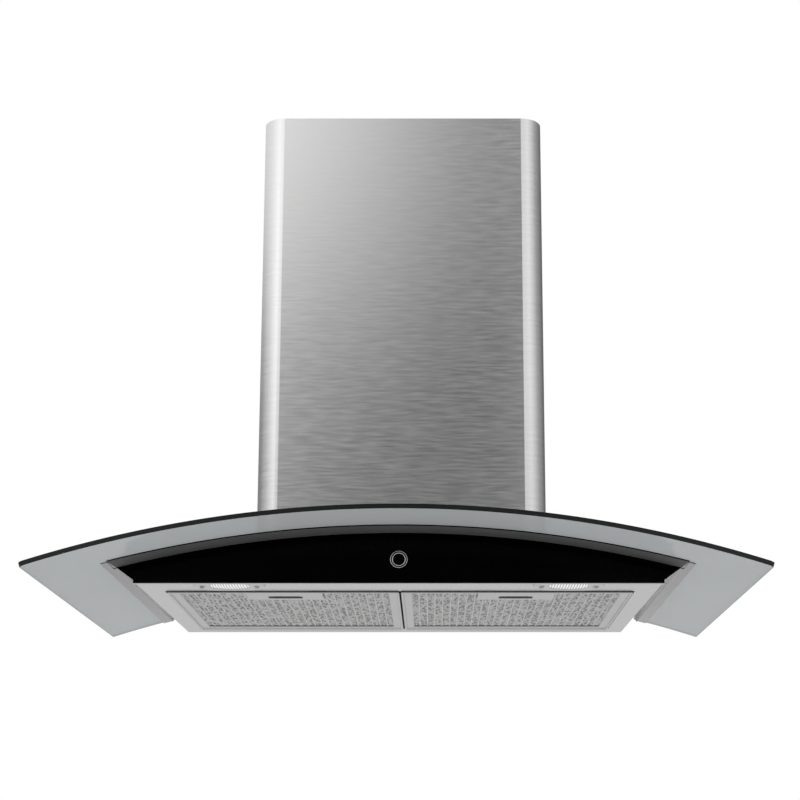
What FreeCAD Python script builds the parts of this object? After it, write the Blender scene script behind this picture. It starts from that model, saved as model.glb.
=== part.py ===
import FreeCAD, Part
import Sketcher
import os
import re
from collections import namedtuple
from FreeCAD import Placement, Rotation, Vector

# A curved glass range hood for a wall, with a telescopic chimney.
# x runs across the hood, y towards the wall and z up, all in millimetres.
# Heights are counted from the underside of the bottom tray, and depths from the wall.
# The last step of each piece moves the origin up to the middle of the four wall bolts.
SIZES = {
    # wall and clearances
    "bolt_height": 160, "wall_gap": 1, "seat_gap": 0.1, "run_gap": 0.3, "slide_gap": 1,
    # glass canopy
    "glass_width": 750, "hood_depth": 500, "glass_thick": 5, "glass_radius": 1214,
    "glass_top": 57.7, "glass_corner": 6, "notch_depth": 62, "notch_gap": 12,
    "notch_flare": 6, "cutout_side_gap": 3, "cutout_front_gap": 5,
    "glass_screw_edge": 13, "glass_screw_near": 215, "glass_screw_far": 100,
    "glass_hole_radius": 4, "glass_screw_radius": 2, "glass_head_radius": 5.5,
    "glass_head_height": 3, "washer_radius": 7, "washer_thick": 1.5,
    # body under the glass
    "sheet_thick": 1, "body_depth": 383, "panel_thick": 4, "panel_lean": 18,
    "panel_foot": 2.5,
    "tray_front_half": 281, "tray_taper": 4, "shell_inset": 7, "tray_flange": 14,
    "seal_thick": 1, "seal_reach": 39, "seal_overhang": 3, "gasket_width": 24,
    "flange_overhang": 10, "flange_reach": 34, "skirt_cut": 168,
    "side_screw_height": 8, "self_tapper_head": 3.4, "self_tapper_reach": 6,
    # grease filters
    "filter_split": 2, "filter_setback": 67, "filter_margin": 12.5, "filter_rear": 32,
    "filter_thick": 9, "frame_side": 12, "frame_end": 16, "opening_gap": 1.5,
    "lip_height": 9, "ridge_pitch": 9, "ridge_width": 2.4, "face_thick": 0.6,
    "peg_x": 70, "peg_half": 12.5, "peg_reach": 3, "peg_thick": 1,
    # filter latches
    "latch_half": 42.5, "latch_inset": 4, "latch_length": 48.3, "latch_thick": 0.8,
    "finger_half": 19, "finger_inset": 29, "finger_length": 15, "finger_round": 3,
    "slider_half": 21, "slider_length": 23, "slider_thick": 3, "latch_travel": 4,
    "tongue_half": 11, "tongue_reach": 2.3, "tongue_thick": 2, "latch_coil_radius": 1.4,
    # lamps
    "lamp_inset": 99, "lamp_setback": 27, "bezel_long": 77, "bezel_wide": 45.4,
    "bezel_thick": 2.5, "lens_long": 42, "lens_wide": 36, "lens_rim": 2, "lens_thick": 1.8,
    "lamp_screw_x": 29, "housing_height": 22, "housing_flange": 36, "bulb_radius": 5.5,
    "bulb_half": 16, "rib_pitch": 3,
    # push button and its controls
    "button_height": 23, "button_radius": 7.25, "button_proud": 1.4, "button_travel": 1.2,
    "ring_radius": 9.25, "ring_proud": 1, "ring_seat": 0.75, "cap_depth": 2,
    "stem_radius": 3, "stem_length": 8.4,
    "bezel_tube": 9, "bellows_radius": 6.8, "bellows_fold": 1.4, "bellows_wall": 0.7,
    "control_half": 45, "control_low": 8, "control_high": 40,
    "control_depth": 25, "control_wall": 1.5, "board_thick": 1.6, "switch_size": 12,
    "switch_rise": 5.4,
    # blower
    "box_half": 131, "box_depth": 235, "box_top": 290, "mouth_half": 112,
    "mouth_front": 223, "mouth_rear": 12, "box_screw_x": 121, "box_screw_near": 185,
    "box_screw_far": 50, "wall_hole_x": 110, "wall_hole_z": 50, "wall_hole_radius": 4,
    "cover_tab_low": 80, "cover_tab_high": 110, "cover_tab_depth": 30,
    "cover_tab_length": 30, "cover_screw_radius": 1.8,
    "fan_x": -50, "fan_height": 165, "fan_front": 172, "fan_rear": 62, "fan_radius": 68,
    "fan_eye": 57, "volute_start": 76, "volute_step": 8, "scroll_wall": 2,
    "inlet_radius": 52, "blade_count": 30, "blade_thick": 1.2, "fan_end_gap": 7,
    "hub_radius": 12, "hub_length": 22, "shaft_radius": 4, "shaft_gap": 0.06,
    "motor_radius": 42, "motor_length": 43, "motor_nose": 24, "motor_taper": 6,
    "bracket_radius": 60, "bracket_thick": 2, "shaft_hole_radius": 15,
    "capacitor_x": 85, "capacitor_radius": 14, "capacitor_low": 70,
    "capacitor_length": 55,
    # outlet collar and damper
    "collar_radius": 74.5, "collar_wall": 1.2, "collar_height": 55, "collar_flange": 88,
    "collar_depth": 117.5, "ledge_height": 6, "ledge_width": 3, "flap_gap": 0.8,
    "flap_thick": 1.2, "pin_radius": 2, "pin_rise": 11.5, "pin_gap": 0.08,
    "knuckle_radius": 3.4, "knuckle_length": 24,
    # chimney
    "chimney_half": 166, "chimney_clear": 35, "chimney_top": 581, "cover_thick": 0.8,
    "cover_round": 25, "cover_return": 15, "upper_low": 185, "upper_drop": 1.5,
    "tab_reach": 14, "guide_drop": 48, "guide_width": 28, "guide_half": 138,
    "guide_reach": 30, "guide_thick": 1.5, "guide_hole_x": 100, "guide_hole_radius": 3,
    # terminal box and gland
    "terminal_half": 45, "terminal_low": 205, "terminal_height": 60,
    "terminal_depth": 28, "terminal_wall": 2, "gland_bore": 4, "gland_radius": 8,
    "gland_flange": 10, "gland_height": 16,
}

# Sizes that follow from the driving ones.
DERIVED = {
    "glass_half": "glass_width/2",
    "arc_centre": "glass_top-glass_radius",
    "under_glass": "glass_radius-glass_thick",
    "shell_radius": "under_glass-seal_thick",
    "panel_top_half": "tray_front_half+panel_lean",
    "tray_rear_half": "tray_front_half-tray_taper",
    "shell_half": "tray_rear_half-shell_inset",
    "seal_depth": "body_depth+seal_reach",
    "seal_front_half": "panel_top_half+seal_overhang",
    "flange_depth": "body_depth+flange_reach",
    "flange_half": "panel_top_half+flange_overhang",
    "notch_front_half": "tray_rear_half+notch_gap",
    "notch_rear_half": "notch_front_half+notch_flare",
    "panel_back": "body_depth-panel_thick",
    "cutout_half": "box_half+cutout_side_gap",
    "cutout_depth": "box_depth+cutout_front_gap",
    "glass_screw_x": "cutout_half+glass_screw_edge",
    "flange_radius": "under_glass-seat_gap",
    "web_thick": "sheet_thick*1.3",
    "filter_depth": "body_depth-filter_setback",
    "filter_half": "(shell_half-filter_margin-opening_gap-filter_split/2)/2",
    "filter_x": "filter_half+filter_split/2",
    "opening_half": "filter_x+filter_half+opening_gap",
    "opening_front": "filter_depth+opening_gap",
    "opening_rear": "filter_rear-opening_gap/1.5",
    "peg_low": "sheet_thick+run_gap/2",
    "latch_front": "filter_depth-latch_inset",
    "latch_rear": "latch_front-latch_length",
    "finger_front": "filter_depth-finger_inset",
    "finger_rear": "finger_front-finger_length",
    "slider_rear": "finger_rear-1",
    "slider_front": "slider_rear+slider_length",
    "slider_low": "seat_gap*3",
    "slider_high": "slider_low+slider_thick",
    "tongue_tip": "opening_front+sheet_thick+tongue_reach",
    "spring_wall": "latch_rear+latch_thick",
    "lamp_x": "tray_front_half-lamp_inset",
    "lamp_depth": "body_depth-lamp_setback",
    "button_face": "body_depth+button_proud",
    "button_back": "body_depth-cap_depth",
    "stem_end": "button_back-stem_length",
    "tube_end": "body_depth-bezel_tube",
    "tube_bore": "button_radius+run_gap/2",
    "panel_hole": "ring_radius-ring_seat",
    "shell_wall_back": "panel_back-sheet_thick",
    "control_front": "shell_wall_back-seat_gap",
    "board_front": "stem_end-button_travel-switch_rise",
    "box_foot": "shell_radius+seat_gap",
    "fan_split": "(fan_front+fan_rear)/2",
    "scroll_top": "box_top-sheet_thick-run_gap",
    "impeller_front": "fan_front-scroll_wall-fan_end_gap",
    "impeller_rear": "fan_rear+scroll_wall+fan_end_gap-1",
    "bracket_front": "fan_rear-seat_gap",
    "motor_front": "bracket_front-bracket_thick-seat_gap",
    "motor_rear": "motor_front-motor_length",
    "collar_bore": "collar_radius-collar_wall",
    "collar_low": "box_top+seat_gap",
    "ledge_low": "collar_low+ledge_height",
    "flap_low": "ledge_low+collar_wall+run_gap",
    "flap_radius": "collar_bore-flap_gap",
    "pin_height": "collar_low+pin_rise",
    "chimney_depth": "box_depth+chimney_clear",
    "upper_half": "chimney_half-cover_thick-slide_gap",
    "upper_depth": "chimney_depth-cover_thick-slide_gap",
    "upper_rear": "wall_gap+cover_thick+slide_gap",
    "upper_top": "chimney_top-upper_drop",
    "cover_face": "chimney_half-cover_thick-run_gap",
    "guide_low": "chimney_top-guide_drop",
    "guide_face": "upper_half-cover_thick-run_gap",
    "guide_step": "upper_rear+cover_thick+run_gap+guide_thick",
    "terminal_rear": "box_depth+seat_gap",
    "terminal_front": "terminal_rear+terminal_depth",
    "terminal_top": "terminal_low+terminal_height",
}

SHEET_OF = {name: "Sizes." for name in SIZES} | {name: "Derived." for name in DERIVED}
PLANES = {"top": ("XY_Plane", 1), "front": ("XZ_Plane", -1), "side": ("YZ_Plane", 1)}
DOWN = Vector(0, -1, 0)
UP = Vector(0, 0, 1)
BACK = Vector(0, 1, 0)
CUT_MARGIN = 5

Corner = namedtuple("Corner", "x y round bow", defaults=(None, None))
Hole = namedtuple("Hole", "x y radius")

doc = FreeCAD.newDocument("range_hood")
PIECES = []


def fill_sheets():
    """Puts the driving sizes and the sizes that follow from them in two sheets."""
    sheet = doc.addObject("Spreadsheet::Sheet", "Sizes")
    for row, (name, value) in enumerate(SIZES.items(), 1):
        sheet.set(f"A{row}", name)
        sheet.set(f"B{row}", str(value))
        sheet.setAlias(f"B{row}", name)
    doc.recompute()
    derived = doc.addObject("Spreadsheet::Sheet", "Derived")
    for row, (name, formula) in enumerate(DERIVED.items(), 1):
        derived.set(f"A{row}", name)
        derived.setAlias(f"B{row}", name)
        derived.set(f"B{row}", "=" + bind(formula))
    doc.recompute()


def bind(text):
    """Names the sheet of each size in an expression."""
    return re.sub(r"\b[a-z]\w*\b", lambda word: SHEET_OF.get(word[0], "") + word[0], str(text))


def number(text):
    """The present value of an expression."""
    value = doc.Sizes.evalExpression(bind(text))
    return float(getattr(value, "Value", value))


def stepped(text, direction, distance):
    """A coordinate moved by a distance along an axis, or left as it is."""
    if abs(direction) < 0.5:
        return text
    return f"({text}){'+' if direction > 0 else '-'}({distance})"


def softened(corners):
    """Replaces each rounded right-angled corner with the two ends of its arc."""
    spots = [Vector(number(item.x), number(item.y), 0) for item in corners]
    nodes = []
    for index, item in enumerate(corners):
        if item.round is None:
            nodes.append((item.x, item.y, item.bow))
            continue
        back = (spots[index - 1] - spots[index]).normalize()
        ahead = (spots[(index + 1) % len(spots)] - spots[index]).normalize()
        into = (stepped(item.x, back.x, item.round), stepped(item.y, back.y, item.round))
        out = (stepped(item.x, ahead.x, item.round), stepped(item.y, ahead.y, item.round))
        nodes.append((*into, (item.round, back + ahead)))
        nodes.append((*out, item.bow))
    return nodes


def edge_between(start, stop, bow):
    """A line or an arc, with its end numbers in the order start, stop."""
    if bow is None:
        return Part.LineSegment(start, stop), (1, 2)
    radius, towards = number(bow[0]), bow[1]
    chord = stop - start
    normal = Vector(-chord.y, chord.x, 0).normalize()
    if normal.dot(towards) < 0:
        normal = -normal
    rise = max(radius ** 2 - (chord.Length / 2) ** 2, 0) ** 0.5
    centre = (start + stop) / 2 + normal * rise
    middle = centre - normal * radius
    if (start - centre).cross(stop - centre).z > 0:
        return Part.Arc(start, middle, stop), (1, 2)
    return Part.Arc(stop, middle, start), (2, 1)


def tie(sketch, kind, places, text):
    """A dimension of a sketch that follows an expression."""
    index = sketch.addConstraint(Sketcher.Constraint(kind, *places, number(text)))
    sketch.setExpression(f"Constraints[{index}]", bind(text))


def draw_outline(sketch, corners):
    """A closed outline whose corners and radii follow the sheets."""
    nodes = softened(corners)
    spots = [Vector(number(x), number(y), 0) for x, y, _ in nodes]
    edges = []
    for index, (_, _, bow) in enumerate(nodes):
        shape, ends = edge_between(spots[index], spots[(index + 1) % len(nodes)], bow)
        edges.append((sketch.addGeometry(shape, False), *ends))
    for index, (x, y, bow) in enumerate(nodes):
        edge, start, stop = edges[index]
        following, first, _ = edges[(index + 1) % len(edges)]
        sketch.addConstraint(Sketcher.Constraint("Coincident", edge, stop, following, first))
        tie(sketch, "DistanceX", (-1, 1, edge, start), x)
        tie(sketch, "DistanceY", (-1, 1, edge, start), y)
        if bow is not None:
            tie(sketch, "Radius", (edge,), bow[0])


def draw_hole(sketch, hole):
    """A circle whose centre and radius follow the sheets."""
    middle = Vector(number(hole.x), number(hole.y), 0)
    circle = sketch.addGeometry(Part.Circle(middle, UP, number(hole.radius)), False)
    tie(sketch, "DistanceX", (-1, 1, circle, 3), hole.x)
    tie(sketch, "DistanceY", (-1, 1, circle, 3), hole.y)
    tie(sketch, "Radius", (circle,), hole.radius)


def sketch_on(body, name, plane, place, outlines):
    """A sketch of outlines and holes on a plane of the body, moved to its place."""
    role, sign = PLANES[plane]
    origin_plane = [item for item in body.Origin.OriginFeatures if item.Role == role][0]
    sketch = body.newObject("Sketcher::SketchObject", name + "_sketch")
    sketch.AttachmentSupport = (origin_plane, [""])
    sketch.MapMode = "FlatFace"
    sketch.setExpression(".AttachmentOffset.Base.z", bind(f"{sign}*({place})"))
    for outline in outlines:
        if isinstance(outline, Hole):
            draw_hole(sketch, outline)
        else:
            draw_outline(sketch, outline)
    return sketch


def pad(body, name, plane, outlines, low, high):
    """Adds the outlines as solid between two places along the plane's normal."""
    place = low if PLANES[plane][1] > 0 else high
    feature = body.newObject("PartDesign::Pad", name)
    feature.Profile = sketch_on(body, name, plane, place, outlines)
    feature.setExpression("Length", bind(f"({high})-({low})"))
    body.Tip = feature
    return feature


def cut(body, name, plane, outlines, low, high):
    """Removes the outlines between two places, and makes sure that something went."""
    doc.recompute()
    before = body.Shape.Volume
    place = high if PLANES[plane][1] > 0 else low
    feature = body.newObject("PartDesign::Pocket", name)
    feature.Profile = sketch_on(body, name, plane, place, outlines)
    feature.setExpression("Length", bind(f"({high})-({low})"))
    body.Tip = feature
    doc.recompute()
    if body.Shape.Volume > before - 1e-3:
        raise ValueError(f"{body.Label}: {name} removes nothing")
    return feature


def turn(body, name, plane, corners, axis):
    """Adds an outline turned about a sketch axis through the body's origin."""
    sketch = sketch_on(body, name, plane, "0", [corners])
    feature = body.newObject("PartDesign::Revolution", name)
    feature.Profile = sketch
    feature.ReferenceAxis = (sketch, [axis])
    body.Tip = feature
    return feature


def round_edges(body, name, radius, chosen):
    """Rounds the edges of the body so far that a test picks."""
    doc.recompute()
    base = body.Tip
    names = [f"Edge{index}" for index, edge in enumerate(base.Shape.Edges, 1) if chosen(edge)]
    feature = body.newObject("PartDesign::Fillet", name)
    feature.Base = (base, names)
    body.Tip = feature
    feature.setExpression("Radius", bind(radius))
    return feature


def repeat_along(body, name, feature, axis_role, length, count):
    """Repeats a feature in a row, evenly over a length."""
    axis = [item for item in body.Origin.OriginFeatures if item.Role == axis_role][0]
    pattern = body.newObject("PartDesign::LinearPattern", name)
    pattern.Originals = [feature]
    pattern.Direction = (axis, [""])
    pattern.setExpression("Length", bind(length))
    pattern.setExpression("Occurrences", bind(count))
    body.Tip = pattern
    return pattern


def body_at(label, x="0", y="0", height="0"):
    """A new body with its own name, placed from the wall and the tray's underside."""
    body = doc.addObject("PartDesign::Body", label)
    body.Label = label
    return placed(body, x, y, height)


def placed(piece, x="0", y="0", height="0"):
    """Places a finished piece, with the origin at the wall bolts, and lists it."""
    piece.setExpression(".Placement.Base.x", bind(x))
    piece.setExpression(".Placement.Base.y", bind(y))
    piece.setExpression(".Placement.Base.z", bind(f"({height})-bolt_height"))
    PIECES.append(piece)
    return piece


def rectangle(left, right, low, high, radius=None):
    """A rectangle with square or rounded corners."""
    return [Corner(left, low, radius), Corner(right, low, radius),
            Corner(right, high, radius), Corner(left, high, radius)]


def arc_height(radius, x):
    """Height of a circle about the glass's centre line, at a place across the hood."""
    return f"arc_centre+sqrt(({radius})^2-({x})^2)"


def curved_band(inner, outer, left, right):
    """The outline of a sheet that is bent like the glass."""
    return [Corner(left, arc_height(inner, left), bow=(inner, DOWN)),
            Corner(right, arc_height(inner, right)),
            Corner(right, arc_height(outer, right), bow=(outer, DOWN)),
            Corner(left, arc_height(outer, left))]


def mirrored(outline, side):
    """The outline itself, or its mirror image across x = 0."""
    return [item._replace(x=f"{side}*({item.x})") for item in outline]


def between(side, inner, outer):
    """The low and high x of a stretch that lies on one side of the hood."""
    return (inner, outer) if side > 0 else (f"-({outer})", f"-({inner})")


def side_name(side):
    return "right" if side > 0 else "left"


def screw_group(label, spots, head_radius, head_height, shank_radius, length):
    """Equal screws with hexagon sockets: each spot is the seat and the head's direction."""
    solids, sockets = [], []
    for index, (x, y, height, towards) in enumerate(spots):
        def blank(kind, name, start):
            item = doc.addObject(kind, f"{label}_{name}_{index}")
            for axis, place, step in zip("xyz", (x, y, height), towards):
                moved = f"({place})+({start})*({step:g})"
                item.setExpression(f".Placement.Base.{axis}", bind(moved))
            item.Placement.Rotation = Rotation(UP, towards)
            return item

        head = blank("Part::Cylinder", "head", "0")
        head.setExpression("Radius", bind(head_radius))
        head.setExpression("Height", bind(head_height))
        shank = blank("Part::Cylinder", "shank", f"-({length})")
        shank.setExpression("Radius", bind(shank_radius))
        shank.setExpression("Height", bind(f"({length})+({head_height})/2"))
        socket = blank("Part::Prism", "socket", f"({head_height})/2")
        socket.Polygon = 6
        socket.setExpression("Circumradius", bind(f"({head_radius})/2"))
        socket.setExpression("Height", bind(head_height))
        solids += [head, shank]
        sockets.append(socket)
    blanks = doc.addObject("Part::MultiFuse", label + "_blanks")
    blanks.Shapes = solids
    recesses = doc.addObject("Part::MultiFuse", label + "_sockets")
    recesses.Shapes = sockets
    group = doc.addObject("Part::Cut", label)
    group.Base = blanks
    group.Tool = recesses
    group.Label = label
    return placed(group)


def coil_spring(label, x, y, height, radius, wire, length, turns):
    """A compression spring of round wire that runs back from its front end."""
    turned = Rotation(UP, BACK)
    helix = doc.addObject("Part::Helix", label + "_path")
    helix.setExpression("Radius", bind(radius))
    helix.setExpression("Height", bind(length))
    helix.setExpression("Pitch", bind(f"({length})/{turns}"))
    helix.Placement.Rotation = turned
    profile = doc.addObject("Part::Circle", label + "_wire")
    profile.setExpression("Radius", bind(f"({wire})/2"))
    profile.Placement = Placement(Vector(), turned * Rotation(Vector(1, 0, 0), 90))
    for item, start in ((helix, x), (profile, f"({x})+({radius})")):
        item.setExpression(".Placement.Base.x", bind(start))
        item.setExpression(".Placement.Base.y", bind(y))
        item.setExpression(".Placement.Base.z", bind(height))
    doc.recompute()
    sweep = doc.addObject("Part::Sweep", label)
    sweep.Sections = [profile]
    sweep.Spine = (helix, [f"Edge{number + 1}" for number in range(len(helix.Shape.Edges))])
    sweep.Solid = True
    sweep.Frenet = True
    sweep.Label = label
    return placed(sweep)


def glass_screw_spots():
    """The places of the four screws that hold the glass, beside the blower box."""
    return [(f"{side}*glass_screw_x", f"-{row}")
            for side in (-1, 1) for row in ("glass_screw_near", "glass_screw_far")]


def glass_canopy():
    """A pane bent to an arc, with a stepped cut-out for the rail and the blower box."""
    body = body_at("glass_canopy")
    pane = curved_band("under_glass", "glass_radius", "-glass_half", "glass_half")
    pad(body, "pane", "front", [pane], "-hood_depth", "-wall_gap")

    def front_corner(edge):
        box = edge.BoundBox
        return box.XLength + box.YLength < 0.01 and box.YMin < -number("hood_depth") + 0.01

    round_edges(body, "rounded_corners", "glass_corner", front_corner)
    notch = [Corner("notch_rear_half", "0"), Corner("notch_front_half", "-notch_depth"),
             Corner("cutout_half", "-notch_depth"), Corner("cutout_half", "-cutout_depth")]
    opposite = [item._replace(x=f"-{item.x}") for item in reversed(notch)]
    below = arc_height("under_glass", "glass_half") + f"-{CUT_MARGIN}"
    cut(body, "cutout", "top", [notch + opposite], below, f"glass_top+{CUT_MARGIN}")
    holes = [Hole(x, y, "glass_hole_radius") for x, y in glass_screw_spots()]
    cut(body, "screw_holes", "top", holes, below, f"glass_top+{CUT_MARGIN}")


def glass_seal_strip():
    """The dark strip between the glass and the front panel, reaching forward of it."""
    body = body_at("glass_seal_strip")
    strip = curved_band("shell_radius+seat_gap", "under_glass-seat_gap",
                        "-seal_front_half", "seal_front_half")
    pad(body, "strip", "front", [strip], "-seal_depth", "-panel_back")
    for side in (-1, 1):
        taper = mirrored([Corner("seal_front_half", "-seal_depth"),
                          Corner("seal_front_half+1", "-seal_depth"),
                          Corner("seal_front_half+1", "-panel_back"),
                          Corner("panel_top_half", "-panel_back")], side)
        cut(body, f"taper_{side_name(side)}", "top", [taper], "0", "glass_top")


def cutout_gasket():
    """A rubber frame between the glass and the shell, round the cut-out."""
    body = body_at("cutout_gasket")
    outer = "cutout_half+gasket_width"
    sheet = curved_band("shell_radius+seat_gap", "under_glass-seat_gap",
                        f"-({outer})", outer)
    pad(body, "frame", "front", [sheet], "-(cutout_depth+gasket_width)", "-notch_depth")
    inside = rectangle("-cutout_half", "cutout_half", "-cutout_depth", "0")
    cut(body, "inside", "top", [inside], "0", "glass_top")
    holes = [Hole(x, y, "glass_hole_radius") for x, y in glass_screw_spots()]
    cut(body, "screw_holes", "top", holes, "0", "glass_top")


def glass_fasteners():
    """Four rubber washers on the glass and the screws that press them down."""
    seat = arc_height("glass_radius", "glass_screw_x-washer_radius") + "+seat_gap"
    spots = [(x, y, seat + "+washer_thick+seat_gap", UP) for x, y in glass_screw_spots()]
    rings = []
    for index, (x, y) in enumerate(glass_screw_spots()):
        outer = doc.addObject("Part::Cylinder", f"washer_disc_{index}")
        outer.setExpression("Radius", bind("washer_radius"))
        outer.setExpression("Height", bind("washer_thick"))
        inner = doc.addObject("Part::Cylinder", f"washer_bore_{index}")
        inner.setExpression("Radius", bind("glass_screw_radius+run_gap"))
        inner.setExpression("Height", bind("washer_thick"))
        for item in (outer, inner):
            for axis, place in zip("xyz", (x, y, seat)):
                item.setExpression(f".Placement.Base.{axis}", bind(place))
        ring = doc.addObject("Part::Cut", f"washer_ring_{index}")
        ring.Base, ring.Tool = outer, inner
        rings.append(ring)
    washers = doc.addObject("Part::MultiFuse", "glass_washers")
    washers.Shapes = rings
    washers.Label = "glass_washers"
    placed(washers)
    screw_group("glass_screws", spots, "glass_head_radius", "glass_head_height",
                "glass_screw_radius",
                "washer_thick+glass_thick+seal_thick+sheet_thick+4")


def front_panel():
    """The upright black panel with slanted ends, curved to fit under the glass."""
    body = body_at("front_panel")
    top = arc_height("shell_radius", "panel_top_half")
    face = [Corner("-tray_front_half", "-panel_foot"), Corner("tray_front_half", "-panel_foot"),
            Corner("tray_front_half", "sheet_thick"),
            Corner("panel_top_half", top, bow=("shell_radius", DOWN)),
            Corner("-panel_top_half", top), Corner("-tray_front_half", "sheet_thick")]
    hole = Hole("0", "button_height", "panel_hole")
    pad(body, "face", "front", [face, hole], "-body_depth", "-panel_back")


def hood_shell():
    """The folded steel shell that carries the glass: a pan that is open below."""
    body = body_at("hood_shell")

    def section(inset, bottom):
        half = f"(shell_half-{inset})"
        top = arc_height(f"(shell_radius-{inset})", half)
        return [Corner(f"-{half}", bottom), Corner(half, bottom),
                Corner(half, top, bow=(f"shell_radius-{inset}", DOWN)),
                Corner(f"-{half}", top)]

    pad(body, "outside", "front", [section("0", "sheet_thick")], "-panel_back", "-wall_gap")
    cut(body, "inside", "front", [section("sheet_thick", "0")],
        "-(panel_back-sheet_thick)", "-(wall_gap+sheet_thick)")
    mouth = rectangle("-mouth_half", "mouth_half", "-mouth_front", "-mouth_rear")
    cut(body, "blower_mouth", "top", [mouth], "lip_height", "glass_top")
    tapped = [Hole(x, y, "glass_screw_radius+seat_gap") for x, y in glass_screw_spots()]
    tapped += [Hole(x, y, "cover_screw_radius+seat_gap") for x, y in box_screw_spots()]
    cut(body, "tapped_holes", "top", tapped, "tray_flange+1", "glass_top")
    cut(body, "button_hole", "front", [Hole("0", "button_height", "panel_hole")],
        "-panel_back", "-(panel_back-sheet_thick)")
    sides = [Hole(place, "side_screw_height", "cover_screw_radius+seat_gap")
             for place in side_screw_places()]
    cut(body, "side_holes", "side", sides, "-shell_half", "shell_half")


def side_screw_places():
    """Depths of the screws that join the tray to the shell, from behind the panel."""
    return [f"-(panel_back*{share})" for share in (0.86, 0.52, 0.18)]


def box_screw_spots():
    """The places of the four screws that hold the blower box on the shell."""
    return [(f"{side}*box_screw_x", f"-{row}")
            for side in (-1, 1) for row in ("box_screw_near", "box_screw_far")]


def bottom_tray():
    """The steel tray: lamp holes, a lipped filter opening and two side flanges."""
    body = body_at("bottom_tray")
    front = "-(panel_back-seat_gap)"
    sheet = [Corner("-tray_front_half", front), Corner("tray_front_half", front),
             Corner("tray_rear_half", "-wall_gap"), Corner("-tray_rear_half", "-wall_gap")]
    pad(body, "sheet", "top", [sheet], "0", "sheet_thick")
    opening = rectangle("-opening_half", "opening_half", "-opening_front", "-opening_rear")
    lip = rectangle("-(opening_half+sheet_thick)", "opening_half+sheet_thick",
                    "-(opening_front+sheet_thick)", "-(opening_rear-sheet_thick)")
    pad(body, "opening_lip", "top", [lip, opening], "0", "lip_height")
    cut(body, "filter_opening", "top", [opening], "0", "sheet_thick")
    for side in (-1, 1):
        low, high = between(side, "shell_half-sheet_thick*2-seat_gap",
                            "shell_half-sheet_thick-seat_gap")
        flange = rectangle(low, high, "-(panel_back-sheet_thick*6)", "-(wall_gap+sheet_thick*6)")
        pad(body, f"flange_{side_name(side)}", "top", [flange], "0", "tray_flange")
    sides = [Hole(place, "side_screw_height", "cover_screw_radius+seat_gap")
             for place in side_screw_places()]
    cut(body, "side_holes", "side", sides, "-shell_half", "-(shell_half-sheet_thick*3)")
    cut(body, "side_holes_right", "side", sides, "shell_half-sheet_thick*3", "shell_half")
    lamps, screws, tongues, pegs = [], [], [], []
    for side in (-1, 1):
        centre = f"{side}*lamp_x"
        reach, half = "lens_long/2+lens_rim+run_gap", "lens_wide/2+lens_rim+run_gap"
        lamps.append(rectangle(f"{centre}-({reach})", f"{centre}+({reach})",
                               f"-lamp_depth-({half})", f"-lamp_depth+({half})", "lens_wide/3"))
        screws += [Hole(f"{centre}+{end}*lamp_screw_x", "-lamp_depth",
                        "cover_screw_radius+seat_gap") for end in (-1, 1)]
        middle = f"{side}*filter_x"
        tongues.append(rectangle(f"{middle}-tongue_half-run_gap*2",
                                 f"{middle}+tongue_half+run_gap*2",
                                 "sheet_thick", "slider_high+run_gap*3"))
        for end in (-1, 1):
            place = f"{middle}+{end}*peg_x"
            pegs.append(rectangle(f"{place}-peg_half-run_gap*2", f"{place}+peg_half+run_gap*2",
                                  "sheet_thick", "sheet_thick+peg_reach+peg_thick*2"))
    cut(body, "lamp_holes", "top", lamps + screws, "0", "sheet_thick")
    cut(body, "tongue_slots", "front", tongues,
        "-(opening_front+sheet_thick)", "-opening_front")
    cut(body, "peg_slots", "front", pegs, "-opening_rear", "-(opening_rear-sheet_thick)")


def side_skirt(side):
    """A sloping side sheet with a flange under the glass, cut away towards the wall."""
    body = body_at(f"side_skirt_{side_name(side)}")
    top = arc_height("flange_radius-sheet_thick/2", "panel_top_half")

    def web(bottom):
        return mirrored([Corner(f"{bottom}-web_thick", "sheet_thick"),
                         Corner(bottom, "sheet_thick"), Corner("panel_top_half", top),
                         Corner("panel_top_half-web_thick", top)], side)

    front = sketch_on(body, "web_front", "front", "-panel_back", [web("tray_front_half")])
    rear = sketch_on(body, "web_rear", "front", "-wall_gap", [web("tray_rear_half")])
    loft = body.newObject("PartDesign::AdditiveLoft", "web")
    loft.Profile = front
    loft.Sections = [rear]
    loft.Ruled = True
    body.Tip = loft
    low, high = between(side, "panel_top_half-web_thick", "flange_half")
    pad(body, "flange", "front", [curved_band("flange_radius-sheet_thick", "flange_radius",
                                              low, high)], "-panel_back", "-wall_gap")
    low, high = between(side, "seal_front_half+run_gap", "flange_half")
    pad(body, "front_flange", "front", [curved_band("flange_radius-sheet_thick",
                                                    "flange_radius", low, high)],
        "-flange_depth", "-panel_back")
    slope = [Corner("-skirt_cut", "0"), Corner("0", "0"),
             Corner("0", arc_height("flange_radius-sheet_thick", "panel_top_half"))]
    low, high = between(side, "shell_half+sheet_thick", "panel_top_half")
    cut(body, "slope", "side", [slope], low, high)


def rear_rail(side):
    """A channel that fills the notch at the back of the glass, beside the blower box."""
    body = body_at(f"rear_rail_{side_name(side)}")
    low, high = between(side, "cutout_half", "tray_rear_half")
    pad(body, "channel", "front", [curved_band("box_foot", "glass_radius", low, high)],
        "-(notch_depth-wall_gap)", "-wall_gap")
    low, high = between(side, "cutout_half+sheet_thick", "tray_rear_half-sheet_thick")
    hollow = curved_band("box_foot-1", "glass_radius-sheet_thick", low, high)
    cut(body, "hollow", "front", [hollow], "-(notch_depth-wall_gap-sheet_thick)",
        "-(wall_gap+sheet_thick)")


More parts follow.
